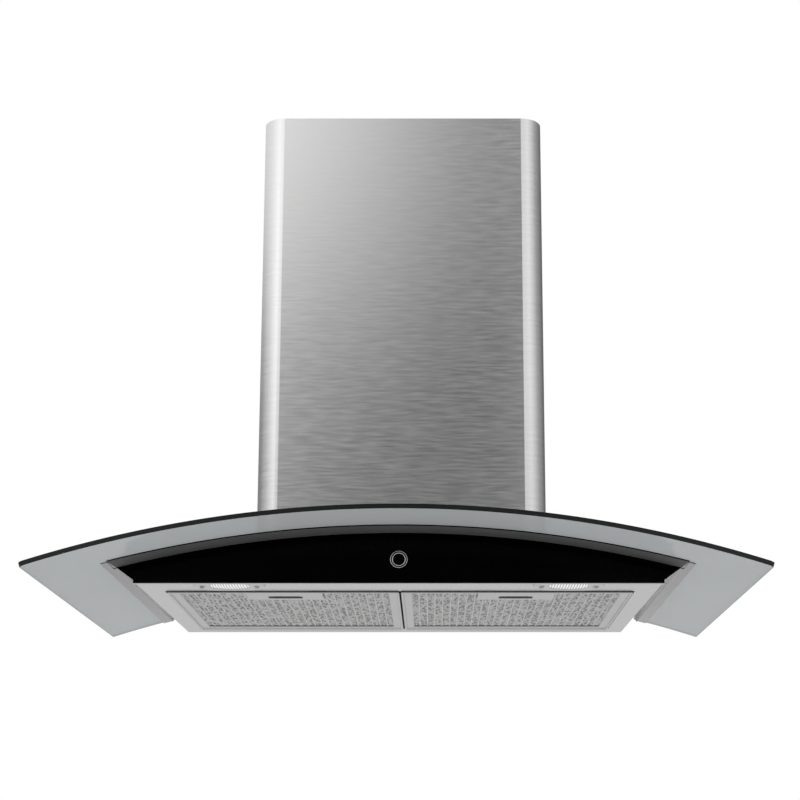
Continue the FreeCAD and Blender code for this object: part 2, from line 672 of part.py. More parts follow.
def shell_screws():
    """Screws through the shell's sides into the tray's flanges."""
    spots = [(f"{side}*(shell_half+seat_gap)", place, "side_screw_height",
              Vector(side, 0, 0)) for side in (-1, 1) for place in side_screw_places()]
    screw_group("shell_screws", spots, "self_tapper_head", "cover_screw_radius",
                "cover_screw_radius", "self_tapper_reach")


def filter_frame(side):
    """The folded aluminium frame of a grease filter, with two pegs at the rear."""
    body = body_at(f"filter_frame_{side_name(side)}", x=f"{side}*filter_x")
    outer = rectangle("-filter_half", "filter_half", "-filter_depth", "-filter_rear")
    window = rectangle("-(filter_half-frame_side)", "filter_half-frame_side",
                       "-(filter_depth-frame_end)", "-(filter_rear+frame_end)")
    pad(body, "rim", "top", [outer, window], "0", "filter_thick")
    cut(body, "channel", "top", [rectangle(
        "-(filter_half-sheet_thick)", "filter_half-sheet_thick",
        "-(filter_depth-sheet_thick)", "-(filter_rear+sheet_thick)")],
        "sheet_thick", "filter_thick-sheet_thick")
    cut(body, "tongue_slot", "front", [rectangle(
        "-(tongue_half+run_gap)", "tongue_half+run_gap",
        "sheet_thick", "slider_high+run_gap")],
        "-filter_depth", "-(filter_depth-sheet_thick)")
    for end in (-1, 1):
        peg = rectangle(f"{end}*peg_x-peg_half", f"{end}*peg_x+peg_half",
                        "-(filter_rear+sheet_thick/2)", "-(filter_rear-peg_reach)")
        pad(body, f"peg_{side_name(end)}", "top", [peg], "peg_low", "peg_low+peg_thick")


def filter_face(side):
    """The ribbed face sheet of a grease filter, with a window for the latch."""
    body = body_at(f"filter_face_{side_name(side)}", x=f"{side}*filter_x")
    inset = "(sheet_thick+run_gap)"
    sheet = rectangle(f"-(filter_half-{inset})", f"filter_half-{inset}",
                      f"-(filter_depth-{inset})", f"-(filter_rear+{inset})")
    pad(body, "sheet", "top", [sheet], "sheet_thick+seat_gap", "sheet_thick+face_thick")
    start = "-(filter_half-frame_side-ridge_pitch/2)"
    ridge = rectangle(f"{start}-ridge_width/2", f"{start}+ridge_width/2",
                      "-(filter_depth-frame_end-run_gap)", "-(filter_rear+frame_end+run_gap)")
    bead = pad(body, "ridge", "top", [ridge], "sheet_thick/3", "sheet_thick+face_thick/2")
    span = "filter_half*2-frame_side*2-ridge_pitch"
    count = f"floor(({span})/ridge_pitch)+1"
    repeat_along(body, "ridges", bead, "X_Axis", f"(floor(({span})/ridge_pitch))*ridge_pitch",
                 count)
    cut(body, "latch_window", "top", [latch_window()], "0", "sheet_thick+face_thick")


def latch_window():
    """The room that a latch needs in the face and the pad of its filter."""
    half = "slider_half+slide_gap"
    return rectangle(f"-({half})", half, "-(filter_depth-sheet_thick)",
                     "-(latch_rear-run_gap)")


def filter_pad(side):
    """The pack of aluminium mesh behind the face sheet, as one solid slab."""
    body = body_at(f"filter_pad_{side_name(side)}", x=f"{side}*filter_x")
    inset = "(sheet_thick+run_gap)"
    slab = rectangle(f"-(filter_half-{inset})", f"filter_half-{inset}",
                     f"-(filter_depth-{inset})", f"-(filter_rear+{inset})")
    pad(body, "slab", "top", [slab], "sheet_thick+face_thick+seat_gap",
        "filter_thick-sheet_thick-seat_gap")
    cut(body, "latch_room", "top", [latch_window()], "sheet_thick", "filter_thick")


def latch_plate(side):
    """The fixed plate round a finger slot, with a turned-up wall for the spring."""
    body = body_at(f"latch_plate_{side_name(side)}", x=f"{side}*filter_x")
    plate = rectangle("-latch_half", "latch_half", "-latch_front", "-latch_rear")
    slot = rectangle("-finger_half", "finger_half", "-finger_front", "-finger_rear",
                     "finger_round")
    pad(body, "plate", "top", [plate, slot], "-latch_thick", "0")
    wall = rectangle("-(slider_half-1)", "slider_half-1", "-spring_wall", "-latch_rear")
    pad(body, "spring_wall", "top", [wall], "-latch_thick", "slider_high+1")


def filter_latch(side):
    """The sliding catch: a plate with a finger recess and a tongue over the tray's lip."""
    body = body_at(f"filter_latch_{side_name(side)}", x=f"{side}*filter_x")
    slider = rectangle("-slider_half", "slider_half", "-slider_front", "-slider_rear")
    pad(body, "slider", "top", [slider], "slider_low", "slider_high")
    tongue = rectangle("-tongue_half", "tongue_half", "-tongue_tip", "-(slider_front-1)")
    pad(body, "tongue", "top", [tongue], "slider_high-tongue_thick", "slider_high")
    recess = rectangle("-(finger_half-4)", "finger_half-4",
                       "-(finger_front-2.5)", "-(finger_rear+3)", "2")
    cut(body, "finger_recess", "top", [recess], "0", "slider_high-0.6")


def latch_spring(side):
    """The spring that pushes the latch forward, behind it."""
    coil_spring(f"latch_spring_{side_name(side)}", f"{side}*filter_x", "-(slider_rear-0.55)",
                "(slider_low+slider_high)/2+0.2", "latch_coil_radius", "0.5",
                "slider_rear-spring_wall-1.1", 4)


def lamp(side):
    """One lamp: bezel, ribbed lens, housing and bulb."""
    name = side_name(side)
    at = {"x": f"{side}*lamp_x", "y": "-lamp_depth"}
    bezel = body_at(f"lamp_bezel_{name}", **at)

    def oval(long, wide, radius):
        return rectangle(f"-({long})/2", f"({long})/2", f"-({wide})/2", f"({wide})/2", radius)

    opening = oval("lens_long+run_gap*2", "lens_wide+run_gap*2", "lens_wide/4")
    holes = [Hole(f"{end}*lamp_screw_x", "0", "cover_screw_radius+seat_gap") for end in (-1, 1)]
    pad(bezel, "ring", "top", [oval("bezel_long", "bezel_wide", "bezel_wide*0.47"), opening,
                               *holes], "-bezel_thick", "0")

    def outer_rim(edge):
        box = edge.BoundBox
        reach = max(abs(edge.valueAt(edge.FirstParameter).x), abs(edge.valueAt(
            edge.FirstParameter).y))
        return box.ZMax < number("-bezel_thick") + 0.01 and reach > number("bezel_wide/2") - 1

    round_edges(bezel, "soft_rim", "bezel_thick/2", outer_rim)

    lens = body_at(f"lamp_lens_{name}", **at)
    rim = oval("lens_long+lens_rim*2", "lens_wide+lens_rim*2", "lens_wide/3.3")
    pad(lens, "rim", "top", [rim], "seat_gap", "sheet_thick")
    pane = oval("lens_long", "lens_wide", "lens_wide/4.2")
    pad(lens, "pane", "top", [pane], "-lens_thick", "sheet_thick/2")
    rib = rectangle("-(lens_long/2-rib_pitch)-rib_pitch/4", "-(lens_long/2-rib_pitch)+rib_pitch/4",
                    "-(lens_wide/2-rib_pitch)", "lens_wide/2-rib_pitch")
    bead = pad(lens, "rib", "top", [rib], "-(lens_thick+seat_gap*4)", "0")
    span = "lens_long-rib_pitch*2"
    repeat_along(lens, "ribs", bead, "X_Axis", f"floor(({span})/rib_pitch)*rib_pitch",
                 f"floor(({span})/rib_pitch)+1")

    housing = body_at(f"lamp_housing_{name}", **at)
    cup = oval("lens_long+lens_rim*2+4", "lens_wide+lens_rim*2", "lens_wide/3.3")
    room = oval("lens_long+lens_rim*2+2", "lens_wide+lens_rim*2-2", "lens_wide/3.6")
    holes = [Hole(f"{end}*lamp_screw_x", "0", "cover_screw_radius") for end in (-1, 1)]
    foot = rectangle("-housing_flange", "housing_flange", "-lens_wide/2-lens_rim",
                     "lens_wide/2+lens_rim", "4")
    top = "sheet_thick+seat_gap+housing_height"
    pad(housing, "foot", "top", [foot, *holes], "sheet_thick+seat_gap", "sheet_thick*2+seat_gap")
    pad(housing, "cup", "top", [cup], "sheet_thick+seat_gap", top)
    cut(housing, "inside", "top", [room], "sheet_thick", f"{top}-sheet_thick")
    socket = rectangle("bulb_half+run_gap", "lens_long/2+lens_rim+1.5",
                       "-bulb_radius", "bulb_radius")
    pad(housing, "lamp_socket", "top", [socket], "bulb_radius", f"{top}-sheet_thick/2")

    bulb = body_at(f"lamp_bulb_{name}", height="sheet_thick+housing_height/2", **at)
    capsule = [Corner("-bulb_half", "0"), Corner("-bulb_half+3", "bulb_radius"),
               Corner("bulb_half-3", "bulb_radius"), Corner("bulb_half", "bulb_radius*0.6"),
               Corner("bulb_half", "0")]
    turn(bulb, "capsule", "front", capsule, "H_Axis")


def lamp_screws():
    """Two screws through each lamp bezel into its housing."""
    spots = [(f"{side}*lamp_x+{end}*lamp_screw_x", "-lamp_depth", "-bezel_thick-seat_gap", -UP)
             for side in (-1, 1) for end in (-1, 1)]
    screw_group("lamp_screws", spots, "cover_screw_radius*1.7", "1",
                "cover_screw_radius-seat_gap*2", "bezel_thick+sheet_thick*2+2")


def push_button():
    """The round button, its ring, rubber bellows and switch, on an axis through the panel."""
    at = {"height": "button_height"}
    cap = body_at("power_button", **at)
    turn(cap, "cap", "side", [
        Corner("-button_face", "0"), Corner("-button_face", "button_radius"),
        Corner("-button_back", "button_radius"), Corner("-button_back", "stem_radius"),
        Corner("-stem_end", "stem_radius"), Corner("-stem_end", "0")], "H_Axis")
    ring = body_at("button_bezel", **at)
    turn(ring, "ring", "side", [
        Corner("-(body_depth+ring_proud)", "tube_bore"),
        Corner("-(body_depth+ring_proud)", "ring_radius"),
        Corner("-(body_depth+seat_gap)", "ring_radius"),
        Corner("-(body_depth+seat_gap)", "panel_hole-seat_gap"),
        Corner("-tube_end", "panel_hole-seat_gap"), Corner("-tube_end", "stem_radius+run_gap"),
        Corner("-(tube_end+1)", "stem_radius+run_gap"), Corner("-(tube_end+1)", "tube_bore")],
        "H_Axis")
    sleeve = body_at("button_bellows", **at)
    start, length = "-(button_back-seat_gap)", "(button_back-tube_end-1-seat_gap*2)"
    folds = [Corner(f"{start}+{length}*{fold}/6", f"bellows_radius-bellows_fold*{fold % 2}")
             for fold in range(7)]
    inside = [item._replace(y=f"{item.y}-bellows_wall") for item in reversed(folds)]
    turn(sleeve, "folded_wall", "side", folds + inside, "H_Axis")
    switch = body_at("button_switch", **at)
    half = "switch_size/2"
    pad(switch, "case", "front", [rectangle(f"-{half}", half, f"-{half}", half)],
        "-(board_front+4)", "-(board_front+seat_gap)")
    pad(switch, "plunger", "front", [Hole("0", "0", "switch_size/7")],
        "-(stem_end-button_travel-run_gap)", "-(board_front+3)")
    board = body_at("control_board")
    plate = rectangle("-(control_half-control_wall-3)", "control_half-control_wall-3",
                      "control_low+control_wall+2", "control_high-control_wall-2")
    pad(board, "plate", "front", [plate], "-board_front", "-(board_front-board_thick)")


def control_box():
    """A plastic box behind the panel that holds the control board on four posts."""
    body = body_at("control_box")
    hole = Hole("0", "button_height", "panel_hole+seat_gap")
    outside = rectangle("-control_half", "control_half", "control_low", "control_high", "2")
    pad(body, "outside", "front", [outside, hole], "-control_front",
        "-(control_front-control_depth)")
    inside = rectangle("-(control_half-control_wall)", "control_half-control_wall",
                       "control_low+control_wall", "control_high-control_wall")
    cut(body, "inside", "front", [inside], "-(control_front-control_wall)",
        "-(control_front-control_depth)")
    for column in (-1, 1):
        for row, height in (("low", "control_low+control_wall+5"),
                            ("high", "control_high-control_wall-5")):
            post = Hole(f"{column}*(control_half-control_wall-7)", height, "2.5")
            pad(body, f"post_{side_name(column)}_{row}", "front", [post],
                "-(control_front-control_wall/2)", "-(board_front+seat_gap)")


def blower_box():
    """The steel box on the shell that holds the fan and hangs on the wall bolts."""
    body = body_at("blower_box")

    def section(inset, radius):
        half = f"(box_half-{inset})"
        foot = arc_height(radius, half)
        return [Corner(f"-{half}", foot, bow=(radius, DOWN)), Corner(half, foot),
                Corner(half, f"box_top-{inset}"), Corner(f"-{half}", f"box_top-{inset}")]

    pad(body, "outside", "front", [section("0", "box_foot")], "-box_depth", "0")
    cut(body, "inside", "front", [section("sheet_thick", "box_foot+sheet_thick")],
        "-(box_depth-sheet_thick)", "-sheet_thick")
    mouth = rectangle("-mouth_half", "mouth_half", "-mouth_front", "-mouth_rear")
    cut(body, "mouth", "top", [mouth], "lip_height", "glass_top+sheet_thick")
    holes = [Hole(x, y, "cover_screw_radius+seat_gap") for x, y in box_screw_spots()]
    cut(body, "foot_holes", "top", holes, "lip_height", "glass_top+sheet_thick")
    cut(body, "outlet", "top", [Hole("0", "-collar_depth", "collar_bore")],
        "box_top-sheet_thick", "box_top")
    wall = [Hole(f"{column}*wall_hole_x", f"bolt_height+{row}*wall_hole_z", "wall_hole_radius")
            for column in (-1, 1) for row in (-1, 1)]
    cut(body, "wall_holes", "front", wall, "-sheet_thick", "0")
    for side in (-1, 1):
        low, high = between(side, "box_half-sheet_thick/2", "cover_face")
        tab = rectangle(low, high, "-(cover_tab_depth+sheet_thick)", "-cover_tab_depth")
        pad(body, f"tab_{side_name(side)}", "top", [tab], "cover_tab_low", "cover_tab_high")
        low, high = between(side, "cover_face-sheet_thick", "cover_face")
        flap = rectangle(low, high, "-(cover_tab_depth+cover_tab_length)", "-cover_tab_depth")
        pad(body, f"tab_flap_{side_name(side)}", "top", [flap], "cover_tab_low",
            "cover_tab_high")
        hole = Hole("-(cover_tab_depth+cover_tab_length/2)", "(cover_tab_low+cover_tab_high)/2",
                    "cover_screw_radius+seat_gap")
        cut(body, f"tab_hole_{side_name(side)}", "side", [hole], low, high)


def box_screws():
    """Four screws down through the foot of the blower box into the shell."""
    seat = arc_height("box_foot+sheet_thick", "box_screw_x-self_tapper_head") + "+seat_gap"
    spots = [(x, y, seat, UP) for x, y in box_screw_spots()]
    screw_group("box_screws", spots, "self_tapper_head", "cover_screw_radius",
                "cover_screw_radius", "self_tapper_reach+2")


def volute(inset):
    """The scroll's outline: three quarter arcs that widen, then a straight outlet."""
    first = f"(volute_start-{inset})"
    second = f"(volute_start+volute_step-{inset})"
    third = f"(volute_start+volute_step*2-{inset})"
    x_one, x_two = "fan_x", "(fan_x+volute_step)"
    z_one, z_three = "fan_height", "(fan_height+volute_step)"
    tongue = f"{x_one}+{inset}"
    roof = f"{z_one}+sqrt({first}^2-({inset})^2)"
    exit_height = f"scroll_top+{inset}*2"
    return [
        Corner(tongue, roof, bow=(first, Vector(1, -1, 0))),
        Corner(f"{x_one}-{first}", z_one, bow=(second, Vector(1, 1, 0))),
        Corner(x_two, f"{z_one}-{second}", bow=(third, Vector(-1, 1, 0))),
        Corner(f"{x_two}+{third}", z_three),
        Corner(f"{x_two}+{third}", exit_height),
        Corner(tongue, exit_height)]


def scroll_casing():
    """The two plastic halves of the fan's scroll, joined halfway along its depth."""
    front = body_at("scroll_front")
    pad(front, "outside", "front", [volute("0")], "-fan_front", "-(fan_split+seat_gap/2)")
    cut(front, "inside", "front", [volute("scroll_wall")], "-(fan_front-scroll_wall)",
        "-fan_split")
    cut(front, "inlet", "front", [Hole("fan_x", "fan_height", "inlet_radius")],
        "-fan_front", "-(fan_front-scroll_wall)")
    rear = body_at("scroll_rear")
    pad(rear, "outside", "front", [volute("0")], "-(fan_split-seat_gap/2)", "-fan_rear")
    cut(rear, "inside", "front", [volute("scroll_wall")], "-fan_split",
        "-(fan_rear+scroll_wall)")
    cut(rear, "shaft_hole", "front", [Hole("fan_x", "fan_height", "shaft_hole_radius")],
        "-(fan_rear+scroll_wall)", "-fan_rear")


def impeller():
    """A drum fan: a back plate with a hub, curved blades and a front ring."""
    body = body_at("impeller", x="fan_x", height="fan_height")
    bore = "shaft_radius+seat_gap/5"
    turn(body, "back_plate", "side", [
        Corner("-(impeller_rear+hub_length)", bore), Corner("-(impeller_rear+hub_length)",
                                                            "hub_radius"),
        Corner("-(impeller_rear+2)", "hub_radius"), Corner("-(impeller_rear+2)", "fan_radius"),
        Corner("-impeller_rear", "fan_radius"), Corner("-impeller_rear", bore)], "H_Axis")
    inner, outer, curl = "fan_eye+0.2", "fan_radius-0.6", "(fan_radius-fan_eye)*0.55"
    blade = [Corner(inner, "0", bow=("fan_radius-fan_eye+4", Vector(-1, 1, 0))),
             Corner(outer, curl), Corner(f"{outer}-0.5", f"{curl}+blade_thick",
                                         bow=("fan_radius-fan_eye+5", Vector(-1, 1, 0))),
             Corner(f"{inner}-0.1", "blade_thick")]
    vane = pad(body, "blade", "front", [blade], "-(impeller_front-1)", "-(impeller_rear+1)")
    doc.recompute()
    ring_of_blades = body.newObject("PartDesign::PolarPattern", "blades")
    ring_of_blades.Originals = [vane]
    spin = [item for item in body.Origin.OriginFeatures if item.Role == "Y_Axis"][0]
    ring_of_blades.Axis = (spin, [""])
    ring_of_blades.Angle = 360
    ring_of_blades.setExpression("Occurrences", bind("blade_count"))
    body.Tip = ring_of_blades
    turn(body, "front_ring", "side", rectangle("-impeller_front", "-(impeller_front-2)",
                                               "fan_eye", "fan_radius"), "H_Axis")


def motor():
    """The fan motor, its shaft, and the disc that carries it on the scroll."""
    at = {"x": "fan_x", "height": "fan_height"}
    bore = "shaft_radius+shaft_gap"
    case = body_at("motor_case", **at)
    turn(case, "case", "side", [
        Corner("-motor_front", bore), Corner("-motor_front", "motor_nose"),
        Corner("-(motor_front-motor_taper)", "motor_radius"),
        Corner("-(motor_rear+motor_taper)", "motor_radius"),
        Corner("-motor_rear", "motor_nose"), Corner("-motor_rear", "0"),
        Corner("-(motor_rear+3)", "0"), Corner("-(motor_rear+3)", bore)], "H_Axis")
    shaft = body_at("motor_shaft", **at)
    turn(shaft, "shaft", "side", rectangle("-(impeller_rear+hub_length+2)",
                                           "-(motor_rear+3+run_gap)", "0", "shaft_radius"),
         "H_Axis")
    bracket = body_at("motor_bracket", **at)
    vents = [Hole("0", "0", "shaft_hole_radius")]
    vents += [Hole(f"(bracket_radius-9)*cos({turned})", f"(bracket_radius-9)*sin({turned})",
                   "cover_screw_radius") for turned in (45, 135, 225, 315)]
    pad(bracket, "disc", "front", [[*octagon("bracket_radius")], *vents],
        "-bracket_front", "-(bracket_front-bracket_thick)")


def octagon(radius):
    """Eight corners on a circle, starting halfway between the axes."""
    return [Corner(f"{radius}*cos({45 * turn_index + 22.5})",
                   f"{radius}*sin({45 * turn_index + 22.5})") for turn_index in range(8)]


def capacitor():
    """The motor's run capacitor, upright against the back of the blower box."""
    can = doc.addObject("Part::Cylinder", "capacitor")
    can.setExpression("Radius", bind("capacitor_radius"))
    can.setExpression("Height", bind("capacitor_length"))
    can.Label = "capacitor"
    placed(can, "capacitor_x", "-(sheet_thick+seat_gap+capacitor_radius)", "capacitor_low")


def duct_collar():
    """The round outlet for the duct, with a ledge inside that the damper rests on."""
    body = body_at("duct_collar", y="-collar_depth")
    top = "collar_low+collar_height"
    turn(body, "tube", "front", [
        Corner("collar_bore", "collar_low"), Corner("collar_flange", "collar_low"),
        Corner("collar_flange", "collar_low+collar_wall"),
        Corner("collar_radius", "collar_low+collar_wall"), Corner("collar_radius", top),
        Corner("collar_bore", top), Corner("collar_bore", "ledge_low+collar_wall"),
        Corner("collar_bore-ledge_width", "ledge_low+collar_wall"),
        Corner("collar_bore-ledge_width", "ledge_low"), Corner("collar_bore", "ledge_low")],
        "V_Axis")
    cut(body, "pin_holes", "front", [Hole("0", "pin_height", "pin_radius+pin_gap/2")],
        "-collar_radius", "collar_radius")


def damper(side):
    """One half of the damper: a half disc that swings on two knuckles."""
    body = body_at(f"damper_flap_{side_name(side)}", y="-collar_depth")
    inner = f"{side}*(knuckle_radius+run_gap)"
    reach = "sqrt(flap_radius^2-(knuckle_radius+run_gap)^2)"
    disc = [Corner(inner, f"-{reach}", bow=("flap_radius", Vector(-side, 0, 0))),
            Corner(inner, reach)]
    pad(body, "half_disc", "top", [disc], "flap_low", "flap_low+flap_thick")
    low, high = between(side, "knuckle_radius/2", "knuckle_radius+2")
    for row in (-1, 1):
        start = f"{row}*knuckle_length*1.2+{side}*(knuckle_length/2+run_gap)-knuckle_length/2"
        stop = f"({start})+knuckle_length"
        pad(body, f"web_{side_name(row)}", "top", [rectangle(low, high, start, stop)],
            "flap_low", "pin_height")
        pad(body, f"knuckle_{side_name(row)}", "front",
            [Hole("0", "pin_height", "knuckle_radius")], start, stop)
    cut(body, "bore", "front", [Hole("0", "pin_height", "pin_radius+pin_gap")],
        "-flap_radius", "flap_radius")


def damper_pin():
    """The pin across the collar that both damper flaps swing on."""
    pin = doc.addObject("Part::Cylinder", "damper_pin")
    pin.Placement.Rotation = Rotation(UP, BACK)
    pin.setExpression("Radius", bind("pin_radius"))
    pin.setExpression("Height", bind("collar_bore*2+collar_wall"))
    pin.Label = "damper_pin"
    placed(pin, "0", "-collar_depth-collar_bore-collar_wall/2", "pin_height")


def cover_outline(half, depth, rear, corner):
    """A sheet folded round three sides, with a return at each rear edge."""
    inner, turn_in = f"({half}-cover_thick)", f"({half}-cover_return)"
    front, inside = f"-({depth})", f"-({depth}-cover_thick)"
    back, returned = f"-({rear})", f"-({rear}+cover_thick)"
    soft = f"({corner}-cover_thick)"
    right = [Corner(half, front, corner), Corner(half, back), Corner(turn_in, back),
             Corner(turn_in, returned), Corner(inner, returned), Corner(inner, inside, soft)]
    left = [item._replace(x=f"-{item.x}") for item in reversed(right)]
    return right + left


def chimney_lower():
    """The outer chimney cover, cut below to the curve of the glass."""
    body = body_at("chimney_lower")
    outline = cover_outline("chimney_half", "chimney_depth", "wall_gap", "cover_round")
    pad(body, "cover", "top", [outline], "0", "chimney_top")
    foot = arc_height("glass_radius+run_gap", "chimney_half")
    under = [Corner("-chimney_half", "0"), Corner("chimney_half", "0"),
             Corner("chimney_half", foot, bow=("glass_radius+run_gap", DOWN)),
             Corner("-chimney_half", foot)]
    cut(body, "curved_foot", "front", [under], "-chimney_depth", "0")
    for side in (-1, 1):
        low, high = between(side, "chimney_half-cover_return", "chimney_half-cover_thick-2")
        tab = rectangle(low, high, "-(wall_gap+cover_thick/2+tab_reach)",
                        "-(wall_gap+cover_thick/2)")
        pad(body, f"rest_tab_{side_name(side)}", "top", [tab], "upper_low-run_gap-sheet_thick",
            "upper_low-run_gap")
        low, high = between(side, "chimney_half-cover_thick*2", "chimney_half")
        hole = Hole("-(cover_tab_depth+cover_tab_length/2)", "(cover_tab_low+cover_tab_high)/2",
                    "cover_screw_radius+seat_gap")
        cut(body, f"side_hole_{side_name(side)}", "side", [hole], low, high)


def chimney_upper():
    """The inner chimney cover, which slides up out of the outer one."""
    body = body_at("chimney_upper")
    outline = cover_outline("upper_half", "upper_depth", "upper_rear",
                            "(cover_round-cover_thick-slide_gap)")
    pad(body, "cover", "top", [outline], "upper_low", "upper_top")


def chimney_bracket():
    """The wall bracket inside the top of the chimney, with an arm along each side."""
    body = body_at("chimney_bracket")
    arm = [Corner("guide_half", "0"), Corner("guide_half", "-(guide_step-guide_thick)"),
           Corner("guide_face", "-(guide_step-guide_thick)"),
           Corner("guide_face", "-(guide_step+guide_reach)"),
           Corner("guide_face-guide_thick", "-(guide_step+guide_reach)"),
           Corner("guide_face-guide_thick", "-guide_step"),
           Corner("guide_half-guide_thick", "-guide_step"),
           Corner("guide_half-guide_thick", "-guide_thick")]
    opposite = [item._replace(x=f"-({item.x})") for item in reversed(arm)]
    pad(body, "strip", "top", [arm + opposite], "guide_low", "guide_low+guide_width")
    holes = [Hole(f"{side}*guide_hole_x", "guide_low+guide_width/2", "guide_hole_radius")
             for side in (-1, 1)]
    cut(body, "wall_holes", "front", holes, "-guide_thick", "0")


def chimney_screws():
    """One screw at each side that fixes the outer cover to the blower box."""
    spots = [(f"{side}*(chimney_half+seat_gap)", "-(cover_tab_depth+cover_tab_length/2)",
              "(cover_tab_low+cover_tab_high)/2", Vector(side, 0, 0)) for side in (-1, 1)]
    screw_group("chimney_screws", spots, "self_tapper_head", "cover_screw_radius",
                "cover_screw_radius", "self_tapper_reach+2")


def terminal_box():
    """The box on the blower where the supply cable is joined, and its gland."""
    body = body_at("terminal_box")
    outside = rectangle("-terminal_half", "terminal_half", "-terminal_front",
                        "-terminal_rear", "3")
    pad(body, "outside", "top", [outside], "terminal_low", "terminal_top")
    inside = rectangle("-(terminal_half-terminal_wall)", "terminal_half-terminal_wall",
                       "-(terminal_front-terminal_wall)", "-(terminal_rear+terminal_wall)")
    cut(body, "inside", "top", [inside], "terminal_low+terminal_wall",
        "terminal_top-terminal_wall")
    middle = "-(terminal_front+terminal_rear)/2"
    cut(body, "gland_hole", "top", [Hole("0", middle, "gland_radius")],
        "terminal_top-terminal_wall", "terminal_top")
    gland = body_at("cable_gland", y=middle, height="terminal_top")
    turn(gland, "gland", "front", [
        Corner("gland_bore", "-(terminal_wall+2)"), Corner("gland_radius-seat_gap",
                                                           "-(terminal_wall+2)"),
        Corner("gland_radius-seat_gap", "seat_gap"), Corner("gland_flange", "seat_gap"),
        Corner("gland_flange", "gland_height/3"), Corner("gland_radius", "gland_height"),
        Corner("gland_bore", "gland_height")], "V_Axis")


def build():
    """Makes every piece of the hood."""
    fill_sheets()
    glass_canopy()
    glass_seal_strip()
    cutout_gasket()
    glass_fasteners()
    front_panel()
    hood_shell()
    bottom_tray()
    for side in (-1, 1):
        side_skirt(side)
        rear_rail(side)
        filter_frame(side)
        filter_face(side)
        filter_pad(side)
        latch_plate(side)
        filter_latch(side)
        latch_spring(side)
        lamp(side)
        damper(side)
    shell_screws()
    lamp_screws()
    push_button()
    control_box()
    blower_box()
    box_screws()
    scroll_casing()
    impeller()
    motor()
    capacitor()
    duct_collar()
    damper_pin()
    chimney_lower()
    chimney_upper()
    chimney_bracket()
    chimney_screws()
    terminal_box()
    doc.recompute()


def check_and_write():
    """Stops at a failed object or an unsound shape, then writes one file per piece."""
    for item in doc.Objects:
        if {"Invalid", "Error"} & set(item.State):
            raise ValueError(f"{item.Label} failed: {item.State}")
    for piece in PIECES:
        if piece.Shape.isNull() or not piece.Shape.isValid() or not piece.Shape.Solids:
            raise ValueError(f"{piece.Label} has no sound shape")
    os.makedirs("parts", exist_ok=True)
    for piece in PIECES:
        piece.Shape.exportStep(f"parts/{piece.Label}.step")
        box = piece.Shape.BoundBox
        print(f"{piece.Label:22s} {len(piece.Shape.Solids)} solids "
              f"{box.XMin:8.2f}..{box.XMax:8.2f} {box.YMin:8.2f}..{box.YMax:8.2f} "
              f"{box.ZMin:8.2f}..{box.ZMax:8.2f}  {piece.Shape.Volume:12.1f}")


build()
check_and_write()
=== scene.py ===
import math
import bpy
import bmesh
import numpy as np
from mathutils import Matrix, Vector


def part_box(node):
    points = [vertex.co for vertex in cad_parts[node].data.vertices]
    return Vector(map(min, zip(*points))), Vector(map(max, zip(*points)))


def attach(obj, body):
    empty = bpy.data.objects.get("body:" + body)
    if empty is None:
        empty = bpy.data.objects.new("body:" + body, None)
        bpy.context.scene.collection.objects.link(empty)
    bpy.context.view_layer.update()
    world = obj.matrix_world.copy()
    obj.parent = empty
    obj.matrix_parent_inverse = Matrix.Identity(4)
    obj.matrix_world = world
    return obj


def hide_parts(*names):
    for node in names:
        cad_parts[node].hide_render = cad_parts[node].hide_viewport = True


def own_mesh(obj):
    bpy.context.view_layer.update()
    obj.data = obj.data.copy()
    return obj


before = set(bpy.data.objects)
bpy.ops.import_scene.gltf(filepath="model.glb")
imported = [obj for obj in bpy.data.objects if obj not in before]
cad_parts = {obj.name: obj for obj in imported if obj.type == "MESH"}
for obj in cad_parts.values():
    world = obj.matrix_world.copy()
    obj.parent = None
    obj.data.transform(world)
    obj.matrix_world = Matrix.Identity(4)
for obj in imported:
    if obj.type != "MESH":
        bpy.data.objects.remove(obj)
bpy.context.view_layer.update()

# A curved glass range hood. Every length is in metres. The wall is y = 0 and the
# tray's underside is at z = TRAY; heights in the helpers below are given above it.
TRAY = -0.160
ONE_PLACE = 1e-6
MESH_CELL = (0.0033, 0.0110)
GLASS_TOP, GLASS_RADIUS, GLASS_THICK = 0.0577, 1.214, 0.005
ARC_CENTRE = GLASS_TOP - GLASS_RADIUS
FILTER_X, LAMP_X, LAMP_Y = 0.1285, 0.182, -0.356
FILTER_HALF, FILTER_FRONT, FILTER_REAR = 0.1275, -0.316, -0.029
# The mesh face stops short of the frame's rear, so the filter pad's painted shade shows there
# as a dark line.
MESH_REAR = FILTER_REAR - 0.0245
RECESS_HALF, RECESS_REAR = 0.022, -0.2634
# Below the first height the filter pad is painted dark, painted shade; it fades in over the
# second.
PAD_PAINTED_SHADE_TOP, PAINTED_SHADE_FADE = -0.1575, 0.003
RIDGE_PITCH, RIDGE_WIDTH, RIDGE_HEIGHT, RIDGE_BASE = 0.009, 0.0011, 0.0009, 0.0013
RIB_PITCH, RIB_HEIGHT, LENS_WALL, LENS_PAINTED_GLOW = 0.003, 0.0003, 0.0018, 0.20
BUTTON_Z, BUTTON_TRAVEL, BUTTON_ANCHOR = 0.023, 0.0012, -0.375
PANEL_FACE, PANEL_FOOT, PANEL_FOOT_HALF, SEAL_HALF = -0.383, -0.0025, 0.2808, 0.302
# The brushed steel's base tone, and a far darker copy of it painted on the side skirts as
# shade.
STEEL_TONE, SKIRT_PAINTED_SHADE_TONE = 0.62, 0.21
SIDES = {"left": -1, "right": 1}


# ---------------------------------------------------------------- surfaces

